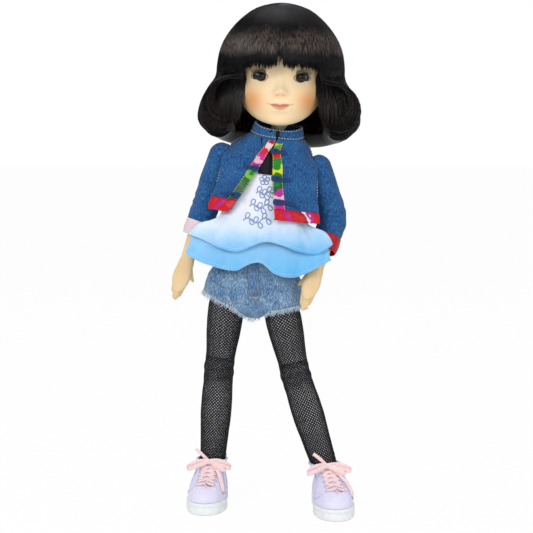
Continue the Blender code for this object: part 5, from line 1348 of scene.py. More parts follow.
BLUE_THREAD = cotton_thread("blue_hem_thread", "#b5e0fb", "#e2f3fe")
PRINT_INK = add_plain("grey_blue_print_ink", "#7f94bd", "#93a6ca", 0.85, 0.003,
                      "Screen print ink, dull and flat")


def make_jacket():
    wanted = steps_between(0.0, 1.0, 56)
    back = []
    for level in JACKET_LEVEL_SHARES:
        near = jacket_level(level, RIGHT, SIDE_SEAM - SEAM, 1.0, 46)
        far = jacket_level(level, LEFT, SIDE_SEAM - SEAM, 1.0, 46)
        back.append(near + far[::-1][1:])
    rows = pushed(refine(back, JACKET_MARKS, wanted), crumple)
    cloth("jacket_back_denim", moved(rows, "torso"), DENIM, DENIM_BLUE, "torso_body", ["jacket_back"])
    for side in SIDES:
        word = WORD[side]
        rows = jacket_rows(side, lambda s: front_edge(side, s), lambda s: SIDE_SEAM + SEAM, 70,
                           steps_between(0.0, HEM_AT[side], 56))
        rows = moved(rows, "torso")
        cloth("jacket_front_denim_" + word, rows, DENIM, DENIM_BLUE, "torso_body", ["jacket_front_" + word])
        outer = pushed(rows, 0.0002)
        seam = [outer[r][round(66 - 15 * smooth(4, 36, r))] for r in range(4, 37)]
        stitches("armhole_stitches_" + word, seam, TOPSTITCH, "torso_body")

        width = FACING_WIDTH / (1.5 * math.pi * TORSO_HALF_WIDTH)
        start = 0.035 if side == RIGHT else 0.055
        rows = jacket_rows(side, lambda s: front_edge(side, s) - 0.002,
                           lambda s: front_edge(side, s) + width, 14,
                           steps_between(start, HEM_AT[side] - 0.10, 60), 0.0006)
        rows = moved(rows, "torso")
        finish = RIGHT_PRINT if side == RIGHT else LEFT_PRINT
        cloth("front_facing_satin_" + word, rows, SATIN, finish, "torso_body", ["front_facing_" + word])
        for column, label in ((1, "edge"), (12, "inner")):
            seam = [row[column] for row in pushed(rows, 0.00012)]
            stitches("facing_stitches_%s_%s" % (label, word), seam, YELLOW_STITCH, "torso_body",
                     radius=0.00022)

        rows = jacket_rows(side, lambda s: front_edge(side, s) - 0.004, lambda s: 0.40, 60,
                           steps_between(HEM_AT[side] - HEM_TRIM_HEIGHT / JACKET_LENGTH,
                                         HEM_AT[side] + 0.03, 16), 0.0007)
        rows = pushed(rows, lambda a, d,
                      p: 0.0014 * math.sin(math.pi * d) ** 0.5 + 0.0006 * ripple(p, 0.005, 5.0))
        rows = moved(rows, "torso")
        cloth("hem_trim_satin_" + word, rows, SATIN, HEM_PRINT, "torso_body", ["hem_trim_" + word])

    collar_rows = []
    for share, lean in steps_pairs(9):
        row = []
        for side in (RIGHT, LEFT):
            half = jacket_level(JACKET_LEVEL_SHARES[0], side, 0.03, 1.0, 70)
            points = []
            for p in half:
                front = max(0.0, -p.y / TORSO_HALF_DEPTH) ** 2
                x = NECK_SIDE + (p.x - NECK_SIDE) * lean
                points.append(Vector((x, p.y * lean, p.z + share * COLLAR_HEIGHT * (1 - 0.20 * front))))
            row += points if side == RIGHT else points[::-1][1:]
        collar_rows.append(row)
    collar_rows = pushed(collar_rows, lambda a, d,
                         p: 0.0004 * math.sin(math.pi * d) + 0.00025 * ripple(p, 0.006, 2.0))
    rows = moved(collar_rows, "torso")
    cloth("collar_denim", rows, DENIM, DENIM_BLUE, "torso_body", ["jacket_collar"])
    outer = pushed(rows, 0.00015)
    stitches("collar_stitches_low", outer[7], TOPSTITCH, "torso_body")
    stitches("collar_stitches_top", outer[1][:46], TOPSTITCH, "torso_body")
    stitches("collar_stitches_top_left", outer[1][-46:], TOPSTITCH, "torso_body")

    # A black sheet lies inside the jacket's open front and rises into the collar's gap.
    rows = jacket_rows(LEFT, lambda s: -0.10, lambda s: 0.16, 12, steps_between(0.0, 0.46, 24), -0.0013)
    rows = [[Vector((abs(p.x) * (1 if i > 4 else -1), p.y, p.z)) for i, p in enumerate(row)] for row in rows]
    stand = [[Vector((NECK_SIDE + (p.x - NECK_SIDE) * 0.5, 0.96 * p.y, p.z + 0.0016 * k))
              for p in rows[0]] for k in (4, 3, 2, 1)]
    rows = moved(stand + rows, "torso")
    thing = fabric("neck_tab_black", rows, 0.0006, NET_DARK, "torso_body")


def steps_pairs(count):
    """Shares of the collar's height from its top down, with how far it leans in there."""
    return [(1 - i / (count - 1), 1 - 0.12 * (1 - i / (count - 1))) for i in range(count)]


def make_frogs():
    """Knotted twill closures: a flat loop of cord with a ball knot at the opening."""
    home = PLACE["torso"]
    shapes = (
        # name, side, height down the jacket, start and end past the free edge, loop height in mm
        ("frog_left_upper", LEFT, 0.17, -0.006, 0.110, 1.7),
        ("frog_left_middle", LEFT, 0.50, -0.006, 0.125, 1.8),
        ("frog_left_lower", LEFT, 0.79, -0.004, 0.140, 1.7),
        ("frog_right_upper", RIGHT, 0.40, 0.000, 0.110, 1.7),
        ("frog_right_lower", RIGHT, 0.77, 0.000, 0.120, 1.6),
    )
    for name, side, share, start, end, tall in shapes:
        wanted = steps_between(share - 0.06, share + 0.06, 3)
        rows = jacket_rows(side, lambda s: front_edge(side, s) + start,
                           lambda s: front_edge(side, s) + end, 25, wanted, 0.0019)
        middle = rows[1]
        paths = []
        girths = []
        for turn_up in (1, -1):
            path = []
            for i, p in enumerate(middle):
                t = i / 24
                swell = math.sin(math.pi * min(1.0, 0.12 + t)) ** 0.6
                pinch = 1 - 0.75 * math.exp(-((t - 0.55) / 0.10) ** 2)
                path.append(home @ (p + Vector((0, 0, turn_up * tall * MM * swell * pinch * 0.75))))
            paths.append(path)
            girths.append([1.05 * (0.75 + 0.25 * math.sin(9 * i / 24)) for i in range(25)])
        knot = []
        for i in range(40):
            angle = math.tau * i / 20
            wobble = 1 + 0.35 * math.cos(1.5 * angle)
            knot.append(home @ (middle[2] + Vector((
                0.9 * MM * wobble * math.cos(angle), -0.5 * MM + 0.5 * MM * math.sin(1.5 * angle),
                1.1 * MM * wobble * math.sin(angle)))))
        paths.append(knot)
        girths.append([0.85] * 40)
        follow(name + "_cord", paths, THREAD, {"Radius": MM, "Sides": 10}, NAVY_CORD, "torso_body",
               [name], girths)


SLEEVE_RADIUS = 0.0098
SLEEVE_CAP = 0.0096
SLEEVE_LENGTH = {RIGHT: 0.0525, LEFT: 0.0565}
CUFF_HEIGHT = 0.0105


def make_sleeves():
    for side in SIDES:
        word = WORD[side]
        arm = "arm_" + word
        sides = 64
        rings = dome(SLEEVE_CAP, sides)
        for share, girth in ((0.30, 1.00), (0.58, 1.02), (0.66, 1.00)):
            rings.append(oval(-share * UPPER_ARM_LENGTH, *[girth * SLEEVE_RADIUS] * 3, sides))
        rings = refine(rings, length_marks(rings), steps_between(0.0, 1.0, 40))
        rings = pushed(rings, lambda a, d,
                       p: 0.0002 + 0.0009 * smooth(0.1, 0.9, d)
                       * ripple((p.x, p.y, 0.5 * p.z), 0.009, side), True)
        cap = moved(rings, arm)
        cloth("sleeve_cap_denim_" + word, cap, DENIM, DENIM_BLUE, "arm_body_" + word, ["sleeve_cap_" + word],
              True)

        home = PLACE[arm].inverted() @ PLACE["hand_" + word]
        end = SLEEVE_LENGTH[side] - UPPER_ARM_LENGTH
        r = 1.02 * SLEEVE_RADIUS
        lower = []
        for above in (0.44 * UPPER_ARM_LENGTH, 0.35 * SLEEVE_RADIUS):
            lower.append(oval(above - UPPER_ARM_LENGTH, r, r, r, sides))
        crease = [0.5 * (p - Vector((0, 0, UPPER_ARM_LENGTH)) + home @ p) for p in oval(0, r, r, r, sides)]
        lower.append(crease)
        for below in (0.35 * SLEEVE_RADIUS, end):
            lower.append([home @ p for p in oval(-below, r, r, r, sides)])
        rings = refine(lower, length_marks(lower), steps_between(0.0, 1.0, 70))

        def elbow_folds(across, down, p):
            ring_fold = 0.9 * math.sin(30 * down + 3 * math.sin(math.tau * across + side)) * bump(down,
                    0, 0.5, 0, 0.25, 1)
            return MM * (0.1 + 0.35 * ring_fold + 0.8 * ripple((p.x, p.y, 0.7 * p.z), 0.008, 2 + side))
        rings = pushed(rings, elbow_folds, True)
        sleeve = cloth("sleeve_denim_" + word, moved(rings, arm), DENIM, DENIM_BLUE, None, ["sleeve_" + word],
                       True)
        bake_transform(sleeve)

        z = -end + 0.0010
        rings = []
        for share, girth in ((0.0, 1.06), (0.5, 1.05), (1.0, 0.99)):
            rings.append(oval(z - share * (CUFF_HEIGHT + 0.001), *[girth * SLEEVE_RADIUS] * 3, sides))
        rings = refine(rings, [0, 0.5, 1], steps_between(0.0, 1.0, 16))
        rings = pushed(rings, lambda a, d,
                       p: 0.0006 * ripple(p, 0.006, side) + 0.0003 * math.sin(math.pi * d), True)
        cloth("cuff_satin_" + word, moved(rings, "hand_" + word), SATIN,
              CUFF_PRINT if side == RIGHT else CUFF_RED,
              "forearm_body_" + word, ["cuff_trim_" + word], True)


NET_DARK = add_plain("black_net_yarn", "#030409", "#080a12", 0.85, 0.001, "Black textured nylon yarn")
make_jacket()
make_frogs()
make_sleeves()


# The top: a bodice that flares into a gathered hem, with a deeper ruffle under it

BUST_PLAN_SHARES = (
    (0.00, 1.24, 0.00), (0.42, 1.22, 0.00), (0.76, 1.04, 0.00), (0.97, 0.66, 0.00), (1.06, 0.26, 0.00),
    (1.07, -0.16, 0.00), (1.00, -0.58, 0.00), (0.76, -0.94, 0.00), (0.40, -1.12, 0.00), (0.00, -1.16, 0.00),
)
WAIST_PLAN_SHARES = (
    (0.00, 1.62, 0.00), (0.45, 1.62, 0.00), (0.88, 1.50, 0.00), (1.18, 1.24, 0.00), (1.30, 0.96, 0.00),
    (1.12, 0.56, 0.00), (1.04, 0.00, 0.00), (0.92, -0.74, 0.00), (0.52, -1.14, 0.00), (0.00, -1.20, 0.00),
)
BODICE_HEM_SHARES = (
    (0.00, 2.00, -0.06), (0.60, 2.00, 0.06), (1.18, 1.82, 0.14), (1.72, 1.60, -0.02), (2.10, 1.42, -0.18),
    (1.48, 1.34, -0.22), (1.44, 0.60, -0.10), (1.28, -0.84, 0.00), (0.68, -1.44, 0.00), (0.00, -1.54, 0.00),
)
RUFFLE_TOP_SHARES = (
    (0.00, 1.38, 0.00), (0.45, 1.38, 0.00), (0.84, 1.26, 0.00), (1.04, 1.04, 0.00), (1.10, 0.76, 0.00),
    (1.06, 0.40, 0.00), (1.04, -0.10, 0.00), (0.92, -0.70, 0.00), (0.46, -1.00, 0.00), (0.00, -1.06, 0.00),
)
RUFFLE_HEM_SHARES = (
    (0.00, 1.86, -0.12), (0.60, 1.86, 0.14), (1.18, 1.70, 0.06), (1.70, 1.56, -0.14), (2.16, 1.48, -0.36),
    (1.36, 1.30, -0.32), (1.32, 0.46, -0.30), (1.30, -0.84, -0.08), (0.70, -1.48, 0.00), (0.00, -1.54, 0.00),
)
BODICE_TOP = TORSO_LENGTH - 0.0207
BODICE_LENGTH = 0.0600
RUFFLE_TOP = BODICE_TOP - 0.0440
RUFFLE_HEIGHT = 0.0320
BODICE_HEM_LINE = (
    # across and up, in millimetres, where the hem runs
    (-58, 204), (-49.5, 201), (-31.7, 192.4), (-21, 190.2), (-8.6, 195), (0.4, 197.3), (11, 194.6),
    (23.4, 189.9), (35.8, 188), (44, 193.0), (52, 200.5),
)
RUFFLE_HEM_LINE = (
    (-60, 191.5), (-50.3, 184.4), (-35.2, 178.6), (-21, 176.4), (-15.8, 179.4), (-10.3, 182.0), (-3.3, 181.6),
    (5.5, 174), (18.1, 171.1), (27, 173.7), (40.3, 181), (54, 188.5),
)


def flared_rows(levels, top, length, pleats, deep, half_sides=90, count=54):
    rows = []
    for share, plan_a, plan_b, mixed in levels:
        halves = []
        for side in SIDES:
            half = []
            for i in range(half_sides):
                turnabout = i / (half_sides - 1)
                a, b = plan_point(plan_a, turnabout), plan_point(plan_b, turnabout)
                fold = deep * share * mixed * math.cos(pleats * math.tau * turnabout)
                across, forward, drop = (u + (v - u) * mixed for u, v in zip(a, b))
                reach = math.hypot(across, forward)
                x = across * TORSO_HALF_WIDTH + fold * across / reach
                y = forward * TORSO_HALF_DEPTH + fold * forward / reach
                half.append(Vector((side * x, -y, top - (share + drop) * length)))
            halves.append(half)
        rows.append(halves[0] + halves[1][-2:0:-1])
    return refine(rows, [level[0] for level in levels], steps_between(0, 1, count))


def fit_hem(rows, line):
    """Lets the front of a hem down or up to a line of its own, and each column with it."""
    for i in range(len(rows[0])):
        top, hem = rows[0][i], rows[-1][i]
        front = smooth(0.010, -0.006, hem.y)
        wanted = along(line, (hem.x - STAND[0]) / MM / 1.03)[1] * MM - 0.11 * hem.y
        ratio = 1 + front * ((top.z - wanted) / (top.z - hem.z) - 1)
        for row in rows:
            row[i] = Vector((row[i].x, row[i].y, top.z + (row[i].z - top.z) * ratio))
    return rows


def make_top():
    levels = (
        (0.00, BUST_PLAN_SHARES, BUST_PLAN_SHARES, 0.0), (0.30, BUST_PLAN_SHARES, WAIST_PLAN_SHARES, 0.35),
        (0.62, BUST_PLAN_SHARES, WAIST_PLAN_SHARES, 1.0), (0.80, WAIST_PLAN_SHARES, BODICE_HEM_SHARES, 0.66),
        (1.00, WAIST_PLAN_SHARES, BODICE_HEM_SHARES, 1.0),
    )
    rows = fit_hem(moved(flared_rows(levels, BODICE_TOP, BODICE_LENGTH, 5, 0.0014), "torso"), BODICE_HEM_LINE)

    def gathers(across, down, p):
        deep = smooth(0.50, 1.0, down)
        pleat = math.sin(math.tau * (34 * across + 0.6 * ripple(p, 0.03, 4.0)))
        return MM * (0.34 * deep * pleat + 1.7 * deep * ripple((p.x, p.y, 0.25 * p.z), 0.012, 6.0)
                     + 0.15 * ripple(p, 0.004))
    rows = pushed(rows, gathers, True)
    bodice = cloth("top_bodice_lawn", rows, COTTON, TOP_WHITE, "torso_body", ["top_bodice"],
                   True)
    edge = pushed(rows, 0.00012, True)
    for row, label in ((edge[-3], "hem"), (edge[1], "neck")):
        stitches("bodice_%s_stitches" % label, row + row[:1], BLUE_THREAD, "torso_body", *FINE_STITCH)

    levels = (
        (0.00, RUFFLE_TOP_SHARES, RUFFLE_TOP_SHARES, 0.0), (0.46, RUFFLE_TOP_SHARES, RUFFLE_HEM_SHARES, 0.74),
        (1.00, RUFFLE_TOP_SHARES, RUFFLE_HEM_SHARES, 1.0),
    )
    rows = fit_hem(moved(flared_rows(levels, RUFFLE_TOP, RUFFLE_HEIGHT, 6, 0.0016), "torso"), RUFFLE_HEM_LINE)

    def flounce(across, down, p):
        deep = smooth(0.25, 1.0, down)
        pleat = math.sin(math.tau * (40 * across + 0.8 * ripple(p, 0.025, 9.0)))
        return MM * (0.36 * deep * pleat + 1.4 * deep
                     * ripple((p.x, p.y, 0.25 * p.z), 0.011, 12.0) - 0.4 * deep)
    rows = pushed(rows, flounce, True)
    cloth("top_ruffle_voile", rows, COTTON, TOP_BLUE, "torso_body", ["top_ruffle"],
          True)
    edge = pushed(rows, 0.00012, True)
    for row, label in ((edge[-2], "low"), (edge[-5], "high")):
        stitches("ruffle_hem_stitches_" + label, row + row[:1], BLUE_THREAD, "torso_body", *FINE_STITCH)
    return bodice


def surface_of(thing):
    return BVHTree.FromPolygons([v.co.copy() for v in thing.data.vertices],
                                [tuple(f.vertices) for f in thing.data.polygons])


def leaf(x, z, heading, length, width):
    """A closed leaf outline on a plane, from its stem out to its tip and back."""
    outline = []
    for i in range(21):
        angle = math.tau * i / 20
        long = length * (0.5 - 0.5 * math.cos(angle))
        side = width * math.sin(angle) * (1 - 0.35 * math.cos(angle))
        outline.append((x + long * math.cos(heading) - side * math.sin(heading),
                        z + long * math.sin(heading) + side * math.cos(heading)))
    return outline


def make_print(bodice):
    """A spray of leaves and flowers printed on the bodice, in the tones of the printed lines."""
    surface = surface_of(bodice)
    lines = []
    for petal in range(5):
        lines.append(leaf(0.6, 245.0, math.tau * petal / 5 + 0.3, 3.6, 1.3))
    for start, end, height, rise in ((-5.5, 6.5, 235.5, 1.2), (-10.5, 6.0, 226.0, 1.5),
                                     (-15.0, 5.5, 216.0, 1.8)):
        stem = []
        for i in range(41):
            t = i / 40
            stem.append((start + (end - start) * t, height + rise * math.sin(1.6 * math.tau * t)))
        lines.append(stem)
        for k in range(4, 40, 6):
            up = 1 if k % 12 == 4 else -1
            lines.append(leaf(stem[k][0], stem[k][1], up * 1.05, 4.4, 1.4))
    paths = []
    for line in lines:
        path = []
        for x, z in line:
            hit = surface.ray_cast(Vector((x * MM, -0.2, z * MM)), Vector((0, 1, 0)))[0]
            if hit is not None:
                path.append(hit)
        if len(path) > 2:
            paths.append(path)
    follow("bodice_leaf_print", paths, THREAD, {"Radius": 0.42 * MM, "Sides": 8}, PRINT_INK, "torso_body")


# Shorts of washed denim, cut off and frayed

SHORTS_WAIST = 0.0300
SHORTS_LEG_LENGTH = 0.0170
SHORTS_EASE = 0.0022
FRAY_ENDS = 520
GUSSET_ENDS = 260
SHORTS_LEVEL_SHARES = (
    (1.00, 0.84, 0.98, 1.04), (0.66, 0.97, 1.03, 1.14), (0.32, 1.13, 1.08, 1.22), (0.02, 1.16, 1.10, 1.22),
    (-0.22, 1.12, 1.06, 1.16), (-0.42, 0.74, 0.90, 1.00), (-0.56, 0.08, 0.50, 0.60),
)
SHORTS_LEG_SHARES = {
    # height of the ring's middle, its rise towards the outside, girth
    RIGHT: ((0.25, 0.25, 1.10), (-0.12, 0.33, 1.15), (-0.445, 0.365, 1.20)),
    LEFT: ((0.25, 0.20, 1.10), (-0.12, 0.12, 1.15), (-0.53, -0.04, 1.20)),
}


def shorts_leg_ring(side, height, slant, girth, grow, sides=110):
    r = girth * (THIGH_RADIUS + SHORTS_EASE) + grow
    return [Vector((p.x, p.y, (height + slant * side * p.x / r) * SHORTS_LEG_LENGTH))
            for p in oval(0, r, r, r, sides)]


def cut_away(thing, name, points, faces):
    """Cuts a closed shape out of a piece and leaves nothing of the shape itself."""
    tool = piece(name, points, faces, VINYL, None)
    outwards(tool)
    cut = thing.modifiers.new("cut", "BOOLEAN")
    cut.operation = "DIFFERENCE"
    cut.object = tool
    settle(thing)
    bpy.data.objects.remove(tool)


def fray(name, hem, fall, body, count):
    """Loose warp ends along a cut edge, each with its own length, lean and curl."""
    middle = sum(hem, Vector()) / len(hem)
    paths = []
    girths = []
    for _ in range(count):
        spot = random.random() * len(hem)
        k = int(spot)
        base = hem[k].lerp(hem[(k + 1) % len(hem)], spot - k)
        out = (base - middle).normalized()
        tangent = (hem[(k + 1) % len(hem)] - hem[k]).normalized()
        length = random.uniform(0.0012, 0.0042)
        heading = (fall + out * random.uniform(-0.1, 0.5) + tangent * random.gauss(0, 0.55)).normalized()
        bend = tangent * random.gauss(0, 0.0007) + out * random.gauss(0, 0.0004)
        paths.append([base - fall * 0.0008 + out * 0.0001, base + heading * length * 0.45 + bend * 0.4,
                      base + heading * length * 0.75 + bend, base + heading * length + bend * 2.2])
        girths.append([1.0, 1.0, 0.8, 0.4])
    follow(name, paths, THREAD, {"Radius": 0.13 * MM, "Sides": 5}, FRAY_THREAD, body, (), girths)


def make_shorts():
    rings = []
    for height, across, forward, backward in SHORTS_LEVEL_SHARES:
        rings.append(oval(
            height * SHORTS_WAIST, across * PELVIS_HALF_WIDTH + SHORTS_EASE,
            forward * TORSO_HALF_DEPTH + SHORTS_EASE, backward * TORSO_HALF_DEPTH + SHORTS_EASE, 120, 0.9,
        ))
    rings = refine(rings, length_marks(rings), steps_between(0, 1, 46))
    rings = pushed(rings, lambda a, d,
                   p: MM * (0.55 * ripple((p.x, p.y, 1.5 * p.z), 0.009, 21) + 0.2
                            * ripple(p, 0.004, 2)), True)
    seat = cloth("shorts_seat_washed", moved(rings, "torso"), DENIM, WASHED, "torso_body",
                 ["shorts_seat"],
                 True)
    for side in SIDES:
        word = WORD[side]
        thigh = "thigh_" + word
        home = PLACE[thigh]
        high, slant, girth = SHORTS_LEG_SHARES[side][1]
        cutter = [shorts_leg_ring(side, high + 0.05, slant, girth, 0.0004, 48),
                  shorts_leg_ring(side, -2.4, 0, 1.3, 0.0004, 48)]
        cut_away(seat, "leg_way_" + word, *loft([[home @ p for p in ring] for ring in cutter]))
        rings = [shorts_leg_ring(side, *row, 0) for row in SHORTS_LEG_SHARES[side]]
        rings = refine(rings, [0, 0.5, 1], steps_between(0, 1, 36))
        rings = pushed(rings, lambda a, d,
                       p: MM * (0.2 + 0.8 * d * ripple((p.x, p.y, 0.6 * p.z), 0.006, 31 + side)), True)
        rings = moved(rings, thigh)
        cloth("shorts_leg_washed_" + word, rings, DENIM, WASHED, "thigh_body_" + word,
              ["shorts_leg_" + word],
              True)
        fall = home.to_3x3() @ Vector((0, 0, -1))
        fray("shorts_fray_" + word, rings[-1], fall, "thigh_body_" + word, FRAY_ENDS)
        edge = pushed(rings, 0.00015, True)
        stitches("shorts_hem_stitches_" + word, edge[29] + edge[29][:1], TOPSTITCH,
                 "thigh_body_" + word, 0.0024, 0.0007, 0.0002)
    surface = surface_of(seat)
    gusset = []
    for k in range(24):
        x = -0.0250 + 0.0300 * k / 23
        low = None
        for step in range(70):
            spot = surface.ray_cast(Vector((x, -0.2, 0.175 - 0.0006 * step)), Vector((0, 1, 0)))[0]
            low = spot or low
        if low:
            gusset.append(low + Vector((0, -0.0002, 0.0005)))
    fray("shorts_fray_gusset", gusset + gusset[::-1], Vector((0, 0, -1)), "torso_body", GUSSET_ENDS)
    fly = []
    for k in range(26):
        z = 0.1855 - 0.0255 * k / 25
        row = []
        for i in range(9):
            x = -0.0128 + 0.0084 * i / 8 + 0.0012 * smooth(0.175, 0.160, z)
            hit = surface.ray_cast(Vector((x + 0.0008, -0.2, z)), Vector((0, 1, 0)))[0]
            hit = hit if hit is not None else fly[-1][i]
            row.append(hit + Vector((0, -0.0006, 0)))
        fly.append(row)
    fabric("fly_flap_washed", fly, 0.0006, WASHED_DARK, "torso_body")
    for column in (1, 7):
        path = [row[column] + Vector((0, -0.0001, 0)) for row in fly]
        stitches("fly_stitches_%d" % column, path, OCHRE_STITCH, "torso_body", 0.0019, 0.0006, 0.0002)
    tack = [fly[-1][2] + Vector((0, -0.0003, -0.0012)), fly[-1][6] + Vector((0, -0.0003, -0.0016))]
    tack = [tack[0].lerp(tack[1], t / 6) for t in range(7)]
    follow("bar_tack", [tack], THREAD, {"Radius": 0.5 * MM, "Sides": 8}, OCHRE_STITCH, "torso_body")


# Fishnet leggings

def on_tube(rows, across, down):
    """Point of a closed grid at fractional places round it and down it."""
    count = len(rows[0])
    r = min(max(down, 0.0), len(rows) - 1.001)
    k = int(r)
    i = int(math.floor(across))
    u = across - i
    a = rows[k][i % count].lerp(rows[k][(i + 1) % count], u)
    b = rows[k + 1][i % count].lerp(rows[k + 1][(i + 1) % count], u)
    return a.lerp(b, r - k)


THIGH_RING_SHARES = ((0.16, 0.985), (0.38, 1.00), (0.62, 0.95), (0.82, 0.87), (1.00, 0.81))
SHIN_RING_SHARES = (
    (0.13, 0.92, 0.92), (0.26, 0.93, 1.00), (0.42, 0.92, 1.03), (0.62, 0.85, 0.93), (0.79, 0.80, 0.84),
    (0.895, 0.76, 0.78),
)
LEGGING_EASE = 0.0002
MESH_PITCH = 0.00172
YARN = 0.00052


def make_leggings():
    sides = 96
    for side in SIDES:
        word = WORD[side]
        home = PLACE["thigh_" + word]
        flat_end = THIGH_LENGTH - KNEE_RADIUS - GAP
        rings = []
        for share, radius in ((0.06, 0.98),) + THIGH_RING_SHARES:
            r = radius * THIGH_RADIUS + LEGGING_EASE
            rings.append([home @ p for p in oval(-share * flat_end, r, r, r * 1.02, sides)])
        r = KNEE_RADIUS + LEGGING_EASE
        rings.append([PLACE["knee_" + word] @ p for p in oval(0, r * 1.03, r * 1.06, r, sides)])
        for share, front, back in SHIN_RING_SHARES:
            mean = 0.5 * (front + back) * CALF_RADIUS + LEGGING_EASE
            ring = oval(-share * SHIN_LENGTH, mean, front * CALF_RADIUS + LEGGING_EASE,
                        back * CALF_RADIUS + LEGGING_EASE, sides)
            rings.append([PLACE["shin_" + word] @ p for p in ring])
        marks = length_marks(rings)
        rows = refine(rings, marks, steps_between(0, 1, 170))
        knee_at = marks[6]

        def creases(across, down, p):
            near = math.exp(-((down - knee_at) / 0.05) ** 2)
            hem = math.exp(-((down - 0.965) / 0.03) ** 2)
            folds = 0.30 * near * math.sin(95 * down + 2.0
                                           * math.sin(math.tau * across)) + 0.12 * ripple(p, 0.007, side)
            return MM * (0.1 + folds + hem
                         * (0.10 + 0.14 * math.sin(210 * down + 3.0 * math.sin(math.tau * across))))
        rows = pushed(rows, creases, True)
        length = sum((a[0] - b[0]).length for a, b in zip(rows, rows[1:]))
        around = math.tau * 0.92 * THIGH_RADIUS
        strands = round(around * math.sin(math.radians(45)) / MESH_PITCH)
        turns = length / around
        paths = []
        girths = []
        for hand in (1, -1):
            for n in range(strands):
                path = []
                for k in range(150):
                    t = k / 149
                    p = on_tube(rows, sides * (n / strands + hand * turns * t), t * (len(rows) - 1))
                    path.append(p)
                paths.append(path)
                girths.append([1.0] * 150)
        for level in (0.0, 0.6, 1.2, 1.8, 166.2, 166.9, 167.6, 168.3, 168.9):
            paths.append([on_tube(rows, sides * k / 72, level) for k in range(73)])
            girths.append([1.5] * 73)
        thing = follow("fishnet_" + word, paths, FLAT_YARN, {"Radius": YARN, "Sides": 6}, NET_DARK,
                       None, ["legging_" + word], girths)
        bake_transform(thing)


# Forearms and hands

PALM_HALF_WIDTH = 0.0066
PALM_HALF_DEPTH = 0.0036
FINGER_RADIUS = 0.0018
FINGER_PITCH = 0.0030
FOREARM_RING_SHARES = ((0.18, 0.99), (0.45, 0.98), (0.75, 0.90), (0.93, 0.85))
PALM_RING_SHARES = (
    # distance past the wrist as a share of the palm's length, half width, half depth
    (-0.02, 0.86, 1.30), (0.25, 0.92, 1.12), (0.60, 1.02, 1.00), (0.90, 0.94, 0.88),
    (1.10, 0.78, 0.66), (1.28, 0.50, 0.40), (1.40, 0.20, 0.16),
)
FINGER_SHARES = (
    # place across in pitches, length, how far back from the palm's end the root is
    (-1.5, 0.86, 0.06), (-0.5, 1.00, 0.00), (0.5, 0.96, 0.02), (1.5, 0.80, 0.12),
)


def finger(root, length, radius, across, forward, side):
    """A tapering finger in three joints that curl towards the palm, which faces +Y."""
    rings = []
    spot = Vector(root)
    heading = Vector((-side * across, forward, -1)).normalized()
    last = 0.0
    for k in range(13):
        share = k / 12
        spot = spot + heading * length * (share - last)
        heading = turn(math.radians(3.6), "X").to_3x3() @ heading
        last = share
        joint = 1 + 0.05 * math.exp(-((share - 0.42) / 0.06) ** 2)
        r = radius * joint * (1 - 0.22
                              * share) * math.sqrt(max(0.02, 1 - max(0.0, (share - 0.78) / 0.22) ** 2.2))
        rings.append([p + spot for p in oval(0, r, r, r, 16)])
    return loft(rings)


def make_hands():
    for side in SIDES:
        word = WORD[side]
        rings = dome(ARM_RADIUS, 40)
        for share, radius in FOREARM_RING_SHARES:
            r = radius * ARM_RADIUS
            rings.append(oval(-share * FOREARM_LENGTH, r, r, r, 40))
        for share, width, depth in PALM_RING_SHARES:
            z = -FOREARM_LENGTH - share * PALM_LENGTH
            deep = depth * PALM_HALF_DEPTH
            rings.append(oval(z, width * PALM_HALF_WIDTH, deep, deep, 40, 0.9))
        rings = refine(rings, length_marks(rings), steps_between(0, 1, 60))
        shapes = [loft(rings, ((0, 0, ARM_RADIUS), None))]
        for across, length, low in FINGER_SHARES:
            root = (side * across * FINGER_PITCH, 0, -FOREARM_LENGTH - PALM_LENGTH * (1 - low) + 0.0050)
            shapes.append(finger(root, length * FINGER_LENGTH + 0.0055, FINGER_RADIUS * 1.05,
                                 across * 0.075, 0.03, side))
        root = (-side * 0.55 * PALM_HALF_WIDTH, -0.0004, -FOREARM_LENGTH - 0.12 * PALM_LENGTH)
        shapes.append(finger(root, 0.95 * FINGER_LENGTH, FINGER_RADIUS * 1.15, 0.42, 0.20, side))
        hand = joined("forearm_vinyl_" + word, shapes, PLACE["hand_" + word], VINYL,
                      "forearm_body_" + word, ["forearm_" + word])
        skin = hand.modifiers.new("one skin", "REMESH")
        skin.mode = "VOXEL"
        skin.voxel_size = 0.00038
        soften = hand.modifiers.new("soften", "SMOOTH")
        soften.factor = 0.5
        soften.iterations = 9
        settle(hand)
        hand.data.shade_smooth()
        if not hand.data.materials:
            hand.data.materials.append(VINYL)


# Shoes

SOLE_THICKNESS = 0.0088
SHOE_LENGTH = 0.0650
SHOE_HALF_WIDTH = 0.0150
HEEL_BACK = 0.0170
SHOE_HEIGHT = 0.0330
SHOE_WALL = 0.0011
SHOE_ROOM = 0.0026
LACE_ROW_SHARES = (0.46, 0.55, 0.64, 0.73, 0.82)
KNOT_SHARE = 0.93
SOLE_RIM = 0.0009
SHOE_OUTLINE_SHARES = (
    (0.00, 0.00), (0.03, 0.42), (0.10, 0.74), (0.28, 1.00), (0.45, 0.95), (0.65, 0.80), (0.85, 0.75),
    (0.96, 0.50), (1.00, 0.00),
)
UPPER_RING_SHARES = (
    (0.00, 1.00, 1.00, 1.00), (0.12, 0.99, 1.01, 0.985), (0.25, 0.94, 1.01, 0.94), (0.37, 0.84, 1.00, 0.885),
    (0.49, 0.70, 0.99, 0.83), (0.61, 0.55, 0.98, 0.79), (0.75, 0.42, 0.96, 0.79), (0.88, 0.335, 0.95, 0.80),
    (1.00, 0.29, 0.94, 0.815),
)
